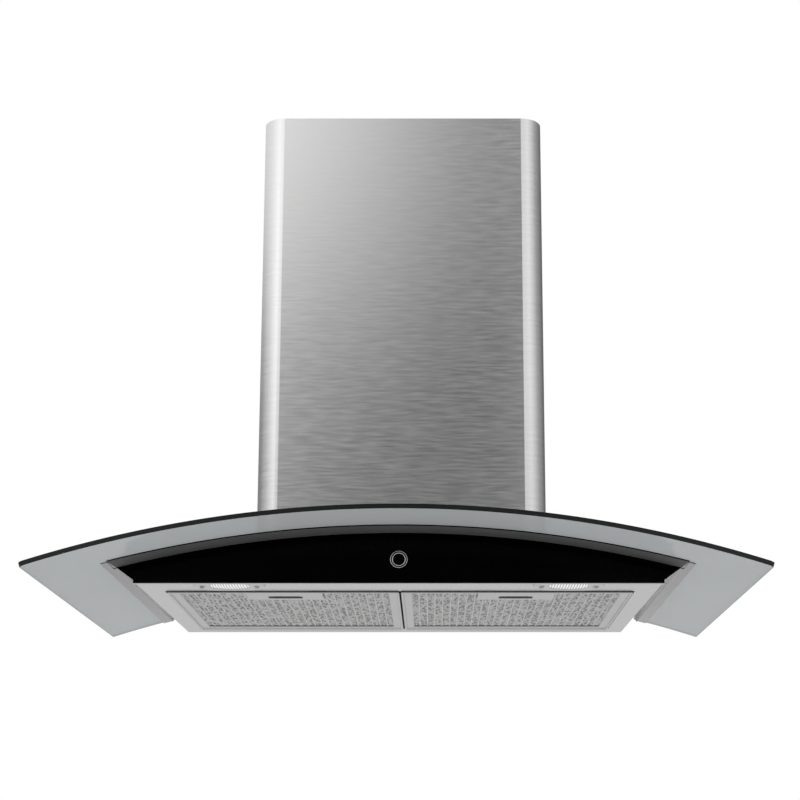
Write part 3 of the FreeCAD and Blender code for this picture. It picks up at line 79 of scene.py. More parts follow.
def place_mesh(name, points, faces, body, material, slot, replaces=(), smooth=True):
    """Puts a vertex array and a face array into an object that rides on a body."""
    mesh = bpy.data.meshes.new(name)
    lifted = np.asarray(points, float) + (0, 0, TRAY)
    corners = faces.tolist() if isinstance(faces, np.ndarray) else faces
    mesh.from_pydata(lifted.tolist(), [], corners)
    outward_surface(mesh)
    mesh.polygons.foreach_set("use_smooth", np.full(len(mesh.polygons), smooth))
    mesh.materials.append(material)
    mesh.update()
    piece = bpy.data.objects.new(name, mesh)
    bpy.context.scene.collection.objects.link(piece)
    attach(piece, body)
    if replaces:
        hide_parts(*replaces)
    return piece


def outward_surface(mesh):
    """Joins points that lie in one place, such as a turned shape's pole, and drops what
    is left without a face. A closed surface that faces inwards is turned round."""
    shape = bmesh.new()
    shape.from_mesh(mesh)
    bmesh.ops.remove_doubles(shape, verts=shape.verts, dist=ONE_PLACE)
    bmesh.ops.delete(shape, geom=[edge for edge in shape.edges if not edge.link_faces],
                     context="EDGES")
    bmesh.ops.delete(shape, geom=[vert for vert in shape.verts if not vert.link_faces],
                     context="VERTS")
    if all(edge.is_manifold for edge in shape.edges) and shape.calc_volume(signed=True) < 0:
        bmesh.ops.reverse_faces(shape, faces=shape.faces)
    shape.to_mesh(mesh)
    shape.free()


def grid_faces(rows, columns, closed=False, keep=None):
    """Faces of a grid: corner indices i, i+1 along a row and the same in the next row.

    With closed, the last column joins the first. keep is a mask of the faces to make."""
    across = np.arange(columns if closed else columns - 1)
    down = np.arange(rows - 1)[:, None]
    after = (across + 1) % columns
    faces = np.stack([down * columns + across, down * columns + after,
                      (down + 1) * columns + after, (down + 1) * columns + across], -1)
    return faces[keep] if keep is not None else faces.reshape(-1, 4)


def bevelled(piece, width, segments, angle):
    """Softens the edges of a piece that turn by more than the angle."""
    edge = piece.modifiers.new("soft_edges", "BEVEL")
    edge.width, edge.segments, edge.limit_method = width, segments, "ANGLE"
    edge.angle_limit = math.radians(angle)
    edge.harden_normals = True
    return piece


def thickened(piece, thickness):
    """Gives a sheet its wall, inwards from the surface that was worked out."""
    wall = piece.modifiers.new("wall", "SOLIDIFY")
    wall.thickness, wall.offset, wall.use_even_offset = thickness, -1, True
    return piece


def rounded_rectangle(half_x, half_y, radius, corner=10, edge=6):
    """Points round a rectangle with quarter-circle corners, anticlockwise from above.

    Each corner is centre + radius * (cos t, sin t) for a quarter turn of t, and each
    side is edge equal steps, so outlines of any size have matching points."""
    turns = np.arange(4)[:, None] * np.pi / 2
    t = turns + np.linspace(0, np.pi / 2, corner + 1)[None, :]
    sx, sy = np.array([1, -1, -1, 1]), np.array([1, 1, -1, -1])
    cx, cy = sx * (half_x - radius), sy * (half_y - radius)
    arcs = np.stack([cx[:, None] + radius * np.cos(t), cy[:, None] + radius * np.sin(t)], -1)
    ahead = np.roll(arcs[:, 0], -1, 0)
    share = (np.arange(1, edge) / edge)[None, :, None]
    sides = arcs[:, -1:, :] * (1 - share) + ahead[:, None, :] * share
    return np.concatenate([arcs, sides], 1).reshape(-1, 2)


def rings(outlines, heights, centre=(0, 0)):
    """Stacks closed outlines at heights into one array of points, ring after ring."""
    flat = np.stack(outlines) + centre
    height = np.broadcast_to(np.asarray(heights, float)[:, None, None],
                             flat.shape[:2] + (1,))
    return np.concatenate([flat, height], 2)


def ring_piece(name, stack, body, material, slot, closed=True, **more):
    """A surface through rings of points; closed joins the last ring to the first."""
    stack = np.concatenate([stack, stack[:1]]) if closed else stack
    count, around = stack.shape[:2]
    faces = grid_faces(count, around, closed=True)
    if closed:
        faces = faces % ((count - 1) * around)
        stack = stack[:-1]
    return place_mesh(name, stack.reshape(-1, 3), faces, body, material, slot, **more)


def turned(name, profile, axis_point, body, material, slot, steps=96, **more):
    """A closed profile of (radius, depth) turned about a line along y.

    A point is axis + (r cos t, depth, r sin t), for t through a full turn."""
    profile = np.asarray(profile, float)
    t = np.linspace(0, 2 * np.pi, steps, endpoint=False)
    x = axis_point[0] + profile[:, :1] * np.cos(t)
    z = axis_point[2] + profile[:, :1] * np.sin(t)
    y = np.broadcast_to(axis_point[1] + profile[:, 1:2], x.shape)
    return ring_piece(name, np.stack([x, y, z], -1), body, material, slot, **more)


def arc_height(x, radius=GLASS_RADIUS):
    """Height of a circle about the glass's centre line at a place across the hood."""
    return ARC_CENTRE + np.sqrt(radius ** 2 - np.square(x))


# ---------------------------------------------------------------- finishes

class Finish:
    """A node material whose patterns all read object coordinates."""

    def __init__(self, name, colour, metallic=0.0, roughness=0.4, **constants):
        self.material = bpy.data.materials.new(name)
        self.material.use_nodes = True
        self.tree = self.material.node_tree
        self.shader = self.tree.nodes["Principled BSDF"]
        self.shader.inputs["Base Color"].default_value = (*colour, 1)
        self.shader.inputs["Metallic"].default_value = metallic
        self.shader.inputs["Roughness"].default_value = roughness
        for socket, value in constants.items():
            self.shader.inputs[socket.replace("_", " ")].default_value = value
        self.place = self.tree.nodes.new("ShaderNodeTexCoord").outputs["Object"]

    def node(self, kind, **settings):
        made = self.tree.nodes.new(kind)
        for key, value in settings.items():
            setattr(made, key, value)
        return made

    def link(self, start, stop):
        self.tree.links.new(start, stop)

    def stretched(self, scale):
        """Object coordinates, drawn out by a scale along each axis."""
        mapping = self.node("ShaderNodeMapping")
        mapping.inputs["Scale"].default_value = scale
        self.link(self.place, mapping.inputs["Vector"])
        return mapping.outputs["Vector"]

    def noise(self, scale, detail=4.0, roughness=0.6):
        cloud = self.node("ShaderNodeTexNoise")
        cloud.inputs["Scale"].default_value = 1
        cloud.inputs["Detail"].default_value = detail
        cloud.inputs["Roughness"].default_value = roughness
        self.link(self.stretched(scale), cloud.inputs["Vector"])
        return cloud.outputs["Fac"]

    def cells(self, scale, feature="F1"):
        crystals = self.node("ShaderNodeTexVoronoi", feature=feature)
        crystals.inputs["Scale"].default_value = 1
        self.link(self.stretched(scale), crystals.inputs["Vector"])
        return crystals.outputs["Distance"], crystals.outputs.get("Color")

    def math(self, operation, first, second=0.0):
        step = self.node("ShaderNodeMath", operation=operation)
        for socket, value in zip(step.inputs, (first, second)):
            if isinstance(value, (int, float)):
                socket.default_value = value
            else:
                self.link(value, socket)
        return step.outputs[0]

    def ranged(self, field, low, high, from_low=0.3, from_high=0.7):
        spread = self.node("ShaderNodeMapRange")
        for key, value in (("From Min", from_low), ("From Max", from_high),
                           ("To Min", low), ("To Max", high)):
            spread.inputs[key].default_value = value
        self.link(field, spread.inputs["Value"])
        return spread.outputs["Result"]

    def tint(self, field, dark, light, from_low=0.3, from_high=0.7):
        """Base colour between two colours by a field."""
        mix = self.node("ShaderNodeMix", data_type="RGBA")
        colours = [socket for socket in mix.inputs if socket.type == "RGBA"]
        colours[0].default_value, colours[1].default_value = (*dark, 1), (*light, 1)
        self.link(self.ranged(field, 0, 1, from_low, from_high), mix.inputs["Factor"])
        result = [socket for socket in mix.outputs if socket.type == "RGBA"][0]
        self.link(result, self.shader.inputs["Base Color"])
        return self

    def gloss(self, field, smooth, rough):
        """Roughness between two values by a field."""
        self.link(self.ranged(field, smooth, rough), self.shader.inputs["Roughness"])
        return self

    def relief(self, field, depth, strength):
        """Bump of a depth in metres by a field."""
        bump = self.node("ShaderNodeBump")
        bump.inputs["Distance"].default_value = depth
        bump.inputs["Strength"].default_value = strength
        self.link(field, bump.inputs["Height"])
        self.link(bump.outputs["Normal"], self.shader.inputs["Normal"])
        return self

    def grain_along(self, axis, turn):
        """Reflections drawn out across a brushed grain: a tangent about an axis."""
        tangent = self.node("ShaderNodeTangent", direction_type="RADIAL", axis=axis)
        self.link(tangent.outputs["Tangent"], self.shader.inputs["Tangent"])
        self.shader.inputs["Anisotropic"].default_value = 0.7
        self.shader.inputs["Anisotropic Rotation"].default_value = turn
        return self


def brushed_steel(name, fine, tangent_axis, turn, light):
    """Steel brushed in one direction: noise that changes fast only across the grain.

    Hair is the finest noise, and a dash is a coarser one with the same grain."""
    steel = Finish(name, (light, light, light), metallic=1.0, roughness=0.24)
    hair = steel.noise(fine, detail=5, roughness=0.7)
    across, along, least_across = 420, 40, 100
    dash = steel.noise(tuple(across if scale > least_across else along for scale in fine),
                       detail=2, roughness=0.5)
    both = steel.math("ADD", steel.math("MULTIPLY", hair, 0.25),
                      steel.math("MULTIPLY", dash, 0.75))
    steel.tint(both, (light * 0.945,) * 3, (light * 1.05, light * 1.05, light * 1.045))
    steel.gloss(both, 0.21, 0.27)
    steel.relief(hair, 0.00001, 0.4)
    return steel.grain_along(tangent_axis, turn).material


def smoked_glass():
    """Grey glass with a pale veil, so that what is behind it only just shows."""
    glass = Finish("smoked_glass", (0.605, 0.63, 0.64), roughness=0.0, IOR=1.06,
                   Transmission_Weight=0.31)
    smears = glass.noise((6, 6, 6), detail=5)
    glass.tint(smears, (0.60, 0.622, 0.632), (0.62, 0.642, 0.652))
    return glass.gloss(smears, 0.0, 0.02).material


def glass_edge():
    """The ground edge of the pane, nearly black when it is looked into."""
    edge = Finish("glass_edge", (0.010, 0.012, 0.012), roughness=0.22)
    edge.shader.inputs["Specular IOR Level"].default_value = 0.2
    ground = edge.noise((700, 700, 700), detail=3)
    return edge.tint(ground, (0.008, 0.010, 0.010), (0.014, 0.016, 0.016)) \
        .gloss(ground, 0.16, 0.3).material


def black_glass():
    """Plain black glass of the panel, which reflects almost nothing."""
    panel = Finish("black_glass", (0.0008, 0.0008, 0.0008), roughness=0.12)
    panel.shader.inputs["Specular IOR Level"].default_value = 0.03
    haze = panel.noise((14, 14, 14), detail=5)
    return panel.tint(haze, (0.0004, 0.0004, 0.0004), (0.0010, 0.0010, 0.0010)) \
        .gloss(haze, 0.08, 0.16).material


def rubber():
    """Dull dark rubber of the seals, with a fine grain."""
    seal = Finish("rubber", (0.085, 0.085, 0.086), roughness=0.75)
    seal.shader.inputs["Specular IOR Level"].default_value = 0.2
    grain = seal.noise((900, 900, 900), detail=3)
    return seal.tint(seal.noise((40, 40, 40)), (0.077, 0.077, 0.078), (0.092, 0.092, 0.093)) \
        .relief(grain, 0.00004, 0.5).material


def zinc_steel():
    """Zinc coating: flat crystals that differ in tone, with fine scratches."""
    zinc = Finish("zinc_steel", (0.5, 0.51, 0.52), metallic=1.0, roughness=0.42)
    _, tone = zinc.cells((90, 90, 90))
    split = zinc.node("ShaderNodeSeparateColor")
    zinc.link(tone, split.inputs["Color"])
    crystal = split.outputs[0]
    zinc.tint(crystal, (0.42, 0.43, 0.44), (0.58, 0.59, 0.60), 0, 1)
    zinc.gloss(zinc.noise((60, 60, 60), detail=5), 0.34, 0.52)
    return zinc.relief(zinc.noise((700, 700, 700), detail=3), 0.00002, 0.4).material


def aluminium():
    """Satin aluminium with lines along its rolling direction."""
    satin = Finish("satin_aluminium", (0.70, 0.70, 0.70), metallic=1.0, roughness=0.36)
    rolled = satin.noise((500, 12, 500), detail=5, roughness=0.7)
    return satin.tint(rolled, (0.60, 0.60, 0.60), (0.72, 0.72, 0.725)) \
        .gloss(rolled, 0.28, 0.42).relief(rolled, 0.00002, 0.3).material


def filter_aluminium():
    """Folded filter frame, a little duller than the tray, with lines along the fold."""
    satin = Finish("filter_aluminium", (0.57, 0.57, 0.57), metallic=1.0, roughness=0.4)
    rolled = satin.noise((300, 20, 300), detail=5, roughness=0.7)
    return satin.tint(rolled, (0.54, 0.54, 0.54), (0.60, 0.60, 0.60)) \
        .gloss(rolled, 0.36, 0.45).material


def expanded_mesh(name, dark, light, painted_shade_top=None):
    """Expanded aluminium mesh: uneven long cells with strands between, and ridges.

    A hole is where the distance to the nearest cell's middle is small, and a ridge is
    where cos(2 pi x / pitch) is near one, because it is pressed flat and bright there.
    With a top height given, the mesh is painted dark below it: painted shade on the pack's
    lower layers."""
    mesh = Finish(name, light, metallic=0.5, roughness=0.45)
    distance, _ = mesh.cells((1 / MESH_CELL[0], 1 / MESH_CELL[1], 20))
    strand = mesh.ranged(distance, 0.0, 0.78, 0.24, 0.60)
    uneven = mesh.ranged(mesh.noise((420, 150, 420), detail=3), 0.60, 1.05)
    split = mesh.node("ShaderNodeSeparateXYZ")
    mesh.link(mesh.stretched((1, 1, 1)), split.inputs["Vector"])
    side = mesh.math("SUBTRACT", mesh.math("ABSOLUTE", split.outputs["X"]), FILTER_X)
    wave = mesh.math("COSINE", mesh.math("MULTIPLY", side, 2 * math.pi / RIDGE_PITCH))
    crest = mesh.ranged(wave, 0.0, 0.90, 0.80, 0.98)
    tone = mesh.math("MAXIMUM", mesh.math("MULTIPLY", strand, uneven), crest)
    # Painted shade: the tone is darkened below the given height.
    if painted_shade_top is not None:
        unshaded = mesh.ranged(split.outputs["Z"], 0.05, 1.0, painted_shade_top, painted_shade_top + PAINTED_SHADE_FADE)
        tone = mesh.math("MULTIPLY", tone, unshaded)
    mesh.tint(tone, dark, light, 0.0, 1.0)
    return mesh.relief(strand, 0.0003, 0.6).material


def moulded_plastic():
    """Dark moulded plastic with a spark-eroded grain."""
    plastic = Finish("moulded_plastic", (0.035, 0.035, 0.036), roughness=0.5)
    grain = plastic.noise((1100, 1100, 1100), detail=3)
    plastic.tint(plastic.noise((30, 30, 30)), (0.028, 0.028, 0.029), (0.043, 0.043, 0.044))
    return plastic.gloss(grain, 0.42, 0.6).relief(grain, 0.00004, 0.6).material


def motor_paint():
    """Black motor paint with a light orange peel."""
    paint = Finish("motor_paint", (0.05, 0.05, 0.055), roughness=0.35)
    peel = paint.noise((320, 320, 320), detail=2)
    paint.tint(paint.noise((25, 25, 25)), (0.04, 0.04, 0.045), (0.062, 0.062, 0.068))
    return paint.gloss(peel, 0.28, 0.42).relief(peel, 0.00006, 0.5).material


def circuit_board():
    """Green lacquer over straight copper tracks, which stand a little proud."""
    board = Finish("circuit_board", (0.03, 0.16, 0.07), roughness=0.3)
    distance, _ = board.cells((260, 260, 420), feature="DISTANCE_TO_EDGE")
    tracks = board.ranged(distance, 1, 0, 0.08, 0.14)
    board.tint(tracks, (0.02, 0.12, 0.05), (0.06, 0.26, 0.10), 0, 1)
    return board.relief(tracks, 0.00004, 0.5).material


def chrome():
    """Bright plating with faint wiping marks."""
    bright = Finish("chrome", (0.78, 0.78, 0.79), metallic=1.0, roughness=0.1)
    wipe = bright.noise((35, 35, 35), detail=6)
    return bright.tint(wipe, (0.72, 0.72, 0.73), (0.80, 0.80, 0.81)).gloss(wipe, 0.06, 0.16) \
        .material


def satin_trim():
    """Satin plated trim of a lamp: fine even blasting."""
    trim = Finish("satin_trim", (0.60, 0.60, 0.60), metallic=1.0, roughness=0.33)
    blast = trim.noise((1500, 1500, 1500), detail=2)
    wear = trim.noise((45, 45, 45), detail=5)
    return trim.tint(wear, (0.55, 0.55, 0.55), (0.64, 0.64, 0.64)).gloss(wear, 0.28, 0.38) \
        .relief(blast, 0.00001, 0.5).material


def lamp_glass():
    """A ribbed frosted lens, painted light on each rib and dark in the grooves, the ribs with
    a painted glow.
    """
    lens = Finish("lamp_glass", (0.93, 0.94, 0.93), roughness=0.1, IOR=1.45,
                  Transmission_Weight=0.15)
    split = lens.node("ShaderNodeSeparateXYZ")
    lens.link(lens.stretched((1, 1, 1)), split.inputs["Vector"])
    phase = lens.math("MULTIPLY", split.outputs["X"], 2 * math.pi / RIB_PITCH)
    rib = lens.math("COSINE", phase)
    # Painted highlight on each rib and painted shade in the grooves between.
    lens.tint(rib, (0.55, 0.56, 0.56), (1.0, 1.0, 1.0), -0.7, 0.3)
    # Painted glow: each rib gives off a little light of its own, as a painted highlight.
    lens.shader.inputs["Emission Color"].default_value = (1, 1, 1, 1)
    lens.link(lens.ranged(rib, 0.0, LENS_PAINTED_GLOW, -0.6, 0.5),
              lens.shader.inputs["Emission Strength"])
    frost = lens.noise((800, 800, 800), detail=2)
    return lens.gloss(frost, 0.12, 0.3).material


def bulb_glass():
    """Clear glass of a bulb."""
    bulb = Finish("bulb_glass", (0.95, 0.95, 0.93), roughness=0.02, IOR=1.5,
                  Transmission_Weight=0.9)
    return bulb.gloss(bulb.noise((300, 300, 300)), 0.0, 0.08).material


MATERIALS = {
    "smoked_glass": smoked_glass(), "glass_edge": glass_edge(),
    "black_glass": black_glass(), "rubber": rubber(),
    "across": brushed_steel("steel_brushed_across", (30, 1500, 1500), "X", 0.0,
                            STEEL_TONE),
    "round": brushed_steel("steel_brushed_round", (30, 30, 1300), "Z", 0.25, STEEL_TONE),
    # The side skirts' steel is the same as the rest, painted far darker: painted shade.
    "depthwise": brushed_steel("steel_brushed_depthwise", (1500, 30, 1500), "Y", 0.0,
                               SKIRT_PAINTED_SHADE_TONE),
    "zinc_steel": zinc_steel(), "aluminium": aluminium(), "frame": filter_aluminium(),
    "mesh": expanded_mesh("expanded_mesh", (0.10, 0.10, 0.10), (0.68, 0.68, 0.675)),
    # The filter pad is painted far darker than the face's mesh: painted shade of the layers
    # behind it.
    "pad": expanded_mesh("mesh_layers", (0.006, 0.006, 0.006), (0.52, 0.52, 0.515),
                         painted_shade_top=PAD_PAINTED_SHADE_TOP),
    "plastic": moulded_plastic(), "motor_paint": motor_paint(), "board": circuit_board(),
    "chrome": chrome(), "trim": satin_trim(), "lamp_glass": lamp_glass(),
    "bulb_glass": bulb_glass(),
}

NODE_FINISHES = {
    "smoked_glass": ["glass_canopy"],
    "black_glass": ["front_panel", "power_button"], "motor_paint": ["motor_case"],
    "rubber": ["glass_seal_strip", "cutout_gasket", "glass_washers", "button_bellows"],
    "across": ["hood_shell", "bottom_tray", "rear_rail_left", "rear_rail_right"],
    "frame": ["latch_plate_left", "latch_plate_right"],
    "round": ["chimney_lower", "chimney_upper"],
    "depthwise": ["side_skirt_left", "side_skirt_right"],
    "zinc_steel": ["blower_box", "chimney_bracket", "motor_bracket", "motor_shaft",
                   "duct_collar", "damper_pin", "box_screws", "shell_screws", "glass_screws",
                   "chimney_screws", "latch_spring_left", "latch_spring_right",
                   "lamp_housing_left", "lamp_housing_right"],
    "aluminium": ["filter_frame_left", "filter_frame_right", "capacitor",
                  "damper_flap_left", "damper_flap_right"],
    "mesh": ["filter_face_left", "filter_face_right"],
    "pad": ["filter_pad_left", "filter_pad_right"],
    "plastic": ["filter_latch_left", "filter_latch_right", "scroll_front", "scroll_rear",
                "impeller", "control_box", "terminal_box", "cable_gland", "button_switch"],
    "board": ["control_board"],
    "chrome": ["button_bezel"],
    "trim": ["lamp_bezel_left", "lamp_bezel_right", "lamp_screws"],
    "lamp_glass": ["lamp_lens_left", "lamp_lens_right"],
    "bulb_glass": ["lamp_bulb_left", "lamp_bulb_right"],
}


def finish_cad_nodes():
    """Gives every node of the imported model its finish."""
    for finish, names in NODE_FINISHES.items():
        for name in names:
            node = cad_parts[name]
            for place in node.material_slots:
                place.link = "OBJECT"
                place.material = MATERIALS[finish]


# ---------------------------------------------------------------- glass canopy

def glass_canopy():
    """The pane: x across by y in depth, z = arc_height(x), with its cut-out left open.

    Rows run from the front edge, which curves back at the two corners by a quarter
    circle, to the wall. Columns are the same share of each stretch between the edges
    of the notch and of the cut-out, so they follow its slanting sides."""
    half, corner, front, rear = 0.375, 0.006, -0.500, -0.001
    notch_front, notch_rear, notch_y = 0.289, 0.295, -0.062
    cut_half, cut_y = 0.134, -0.240
    turn = np.linspace(0, np.pi / 2, 8)
    tip = half - corner + corner * np.sin(turn)
    rows = np.concatenate([np.linspace(0, 1, 24), np.linspace(1, 2, 16)[1:],
                           np.linspace(2, 3, 8)[1:]])
    stretches = [np.linspace(0, 1, 24), np.linspace(1, 2, 26)[1:],
                 np.linspace(2, 3, 16)[1:-1], 3 + (tip - tip[0]) / corner]
    right = np.concatenate(stretches)
    columns = np.concatenate([-right[:0:-1], right])
    marks_y = np.array([front, cut_y, notch_y, rear])
    y = np.interp(rows, np.arange(4), marks_y)[:, None] + np.zeros(len(columns))
    lean = np.clip((y - notch_y) / (rear - notch_y), 0, 1)
    bound = notch_front + (notch_rear - notch_front) * lean
    size = np.abs(columns)[None, :]
    x = np.where(size <= 1, size * cut_half,
                 np.where(size <= 2, cut_half + (size - 1) * (bound - cut_half),
                          np.where(size <= 3, bound + (size - 2) * (half - corner - bound),
                                   half - corner + (size - 3) * corner)))
    x = x * np.sign(columns)
    over = np.clip(np.abs(x) - (half - corner), 0, corner)
    back = corner - np.sqrt(corner ** 2 - over ** 2)
    fade = np.clip(1 - rows, 0, 1)[:, None]
    points = np.stack([x, y + back * fade, arc_height(x)], -1)
    middle = (size[0][:-1] + size[0][1:]) / 2
    deep = (rows[:-1] + rows[1:])[:, None] / 2
    gone = ((deep > 1) & (middle < 1)) | ((deep > 2) & (middle < 2))
    faces = grid_faces(len(rows), len(columns), keep=~gone)
    pane = place_mesh("curved_glass_pane", points.reshape(-1, 3), faces, "hood",
                      MATERIALS["smoked_glass"], "smoked_glass", replaces=["glass_canopy"])
    pane.data.materials.append(MATERIALS["glass_edge"])
    thickened(pane, GLASS_THICK)
    pane.modifiers["wall"].material_offset_rim = 1
    return bevelled(pane, 0.0005, 2, 50)


# ---------------------------------------------------------------- filters

def filter_face(side):
    """The ridged mesh of a grease filter, with a gap for the finger recess.

    Height is base - ridge * exp(-(d / width)^2), where d is the distance across from
    the nearest ridge, plus a small ripple of sines along and across."""
    middle = SIDES[side] * FILTER_X
    half, front = FILTER_HALF - 0.0022, FILTER_FRONT + 0.0012
    x = np.linspace(-half, half, 337)
    y = np.concatenate([np.linspace(front, RECESS_REAR, 8),
                        np.linspace(RECESS_REAR, MESH_REAR, 31)[1:]])
    from_ridge = (x + RIDGE_PITCH / 2) % RIDGE_PITCH - RIDGE_PITCH / 2
    ridge = np.exp(-np.square(from_ridge / RIDGE_WIDTH))
    ripple = 0.00008 * (np.sin(y * 420)[:, None] + np.sin(y * 173 + 1)[:, None]) \
        * np.cos(x * 330)[None, :]
    z = RIDGE_BASE - RIDGE_HEIGHT * ridge[None, :] + ripple
    points = np.stack([middle + x + 0 * y[:, None], y[:, None] + 0 * x, z], -1)
    mid_x = np.abs(x[:-1] + x[1:]) / 2
    mid_y = (y[:-1] + y[1:]) / 2
    keep = ~((mid_x[None, :] < RECESS_HALF) & (mid_y[:, None] < RECESS_REAR))
    faces = grid_faces(len(y), len(x), keep=keep)[:, ::-1]
    face = place_mesh(f"ridged_mesh_{side}", points.reshape(-1, 3), faces,
                      f"filter_{side}", MATERIALS["mesh"], "aluminium",
                      replaces=[f"filter_face_{side}"])
    return thickened(face, 0.0004)


def filter_frame(side):
    """The folded frame of a filter: a profile round a rectangle, its outer wall dark as
    painted shade.

    Each ring is the outer outline drawn in by an inset, at its own height. A low rim
    runs round the outside, and a rolled edge round the mesh."""
    middle = (SIDES[side] * FILTER_X, (FILTER_FRONT + FILTER_REAR) / 2)
    half_x, half_y = FILTER_HALF, (FILTER_REAR - FILTER_FRONT) / 2
    profile = [(0, 8.6), (0, -1.4), (0.4, -1.9), (1.5, -2.0), (2.6, -1.8), (3.2, -0.4),
               (4.2, 0.0), (10.6, 0.0), (11.6, 0.25), (12.0, 0.8), (12.0, 2.6), (9.0, 2.8),
               (2.0, 2.8), (2.0, 7.8), (9.0, 8.0), (9.0, 9.0), (0.6, 9.0)]
    outlines, heights = [], []
    for inset, height in profile:
        share = inset / 12.0
        outlines.append(rounded_rectangle(half_x - inset / 1000,
                                          half_y - (inset + 4.0 * share ** 2) / 1000,
                                          0.0026 - 0.0014 * share, corner=5, edge=4))
        heights.append(height / 1000)
    stack = rings(outlines, heights, middle)
    folded = ring_piece(f"folded_frame_{side}", stack, f"filter_{side}",
                        MATERIALS["frame"], "aluminium", smooth=False,
                        replaces=[f"filter_frame_{side}"])
    folded.data.materials.append(MATERIALS["rubber"])
    # The outer wall's faces take the dark rubber: painted shade of the gap round the filter.
    seal = np.zeros(len(folded.data.polygons), int)
    seal[:stack.shape[1]] = 1
    folded.data.polygons.foreach_set("material_index", seal)
    return folded


# ---------------------------------------------------------------- lamps

def lamp_bezel(side):
    """A dished oval trim: an outer outline blended into the lens opening.

    Each ring is outer + (inner - outer) * share, at its own height."""
    centre = (SIDES[side] * LAMP_X, LAMP_Y)
    outer = rounded_rectangle(0.0385, 0.0227, 0.0226, corner=20, edge=6)
    inner = rounded_rectangle(0.0212, 0.0182, 0.0181, corner=20, edge=6)
    profile = [(0, 0), (0.003, -0.0006), (0.02, -0.0014), (0.06, -0.0020), (0.16, -0.0023),
               (0.45, -0.0022), (0.80, -0.0017), (0.96, -0.0014), (1.0, -0.0011), (1.0, 0)]
    stack = rings([outer + (inner - outer) * share for share, _ in profile],
                  [height for _, height in profile], centre)
    return ring_piece(f"dished_bezel_{side}", stack, "hood", MATERIALS["trim"],
                      "brushed_steel", replaces=[f"lamp_bezel_{side}"])


def lamp_lens(side):
    """A ribbed lens: x runs along it, y = half width(x) * v, ribs are a cosine of x.

    The half width follows the oval's ends, sqrt(r^2 - (|x| - straight)^2)."""
    long, wide = 0.0210, 0.0180
    x = np.linspace(-long, long, 169)
    v = np.linspace(-1, 1, 25)
    past = np.clip(np.abs(x) - (long - wide), 0, wide)
    width = np.sqrt(np.clip(wide ** 2 - past ** 2, 0, None))
    dome = 0.0012 * (1 - np.square(v))[:, None] * (width / wide)[None, :]
    rib = RIB_HEIGHT * np.cos(2 * np.pi * (x + SIDES[side] * LAMP_X) / RIB_PITCH)
    fade = np.clip((1 - np.abs(v)) * 8, 0, 1)[:, None]
    z = -0.0010 - dome - rib[None, :] * fade
    points = np.stack([SIDES[side] * LAMP_X + x + 0 * v[:, None],
                       LAMP_Y + v[:, None] * width[None, :], z], -1)
    lens = place_mesh(f"ribbed_lens_{side}", points.reshape(-1, 3),
                      grid_faces(len(v), len(x))[:, ::-1], "hood", MATERIALS["lamp_glass"],
                      "clear_glass", replaces=[f"lamp_lens_{side}"])
    return thickened(lens, LENS_WALL)


# ---------------------------------------------------------------- button

def push_button():
    """The cap, its bright rim and the bezel, each a profile turned about the button's axis."""
    axis = (0, 0, BUTTON_Z)
    face = -0.3844
    cap = [(0, face + 0.0002), (0.0040, face + 0.0002), (0.0058, face + 0.0003),
           (0.0062, face + 0.0006), (0.0062, -0.3810), (0.0030, -0.3810),
           (0.0030, -0.3726), (0, -0.3726)]
    turned("button_cap", cap, axis, "button", MATERIALS["black_glass"], "black_glass",
           replaces=["power_button"])
    rim = [(0.0063, face + 0.0004), (0.0065, face), (0.0070, face), (0.00725, face + 0.0003),
           (0.00725, -0.3812), (0.0063, -0.3812)]
    turned("button_rim", rim, axis, "button", MATERIALS["chrome"], "chrome",
           replaces=["power_button"])
    bezel = [(0.00755, -0.3836), (0.0079, -0.3838), (0.0085, -0.3838), (0.0086, -0.3836),
             (0.0086, -0.3740), (0.00755, -0.3740)]
    turned("bezel_ring", bezel, axis, "hood", MATERIALS["black_glass"], "chrome",
           replaces=["button_bezel"])
    lip = [(0.00862, -0.3839), (0.0087, -0.3840), (0.0091, -0.3840), (0.00925, -0.3837),
           (0.00925, -0.3831), (0.00862, -0.3831)]
    turned("bezel_lip", lip, axis, "hood", MATERIALS["chrome"], "chrome",
           replaces=["button_bezel"])


def button_sleeve():
    """The button's rubber sleeve: a wall whose radius steps between two values from fold
    to fold, turned about the button's axis."""
    front, back, folds, wall = -0.3809, -0.3751, 6, 0.0007
    depth = np.linspace(front, back, folds + 1)
    radius = 0.0068 - 0.0014 * (np.arange(folds + 1) % 2)
    profile = np.concatenate([np.stack([radius, depth], 1),
                              np.stack([radius - wall, depth], 1)[::-1]])
    sleeve = turned("folded_sleeve", profile, (0, 0, BUTTON_Z), "hood", MATERIALS["rubber"],
                    "rubber", steps=48, replaces=["button_bellows"])
    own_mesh(sleeve)


def latch_coil(side):
    """A latch's spring: a ring of wire carried along a helix.

    A point of the helix is (x + r cos t, y, z + r sin t), where y goes evenly from the
    front to the rear of the spring as t goes through all the turns."""
    low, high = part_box(f"latch_spring_{side}")
    radius, wire, turns, around = 0.0014, 0.00025, 4, 8
    t = np.linspace(0, turns * 2 * np.pi, turns * 20 + 1)[:, None]
    u = np.linspace(0, 2 * np.pi, around, endpoint=False)
    reach = radius + wire * np.cos(u)
    middle = (low + high) / 2
    along = np.interp(t, (0, t[-1, 0]), (low.y + wire, high.y - wire))
    points = np.stack([middle.x + reach * np.cos(t), along + wire * np.sin(u),
                       middle.z - TRAY + reach * np.sin(t)], -1)
    faces = grid_faces(len(t), around, closed=True).tolist()
    last = (len(t) - 1) * around
    faces += [list(range(around))[::-1], list(range(last, last + around))]
    coil = place_mesh(f"latch_coil_{side}", points.reshape(-1, 3), faces,
                      f"filter_{side}", MATERIALS["zinc_steel"], "zinc_steel",
                      replaces=[f"latch_spring_{side}"])
    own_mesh(coil)


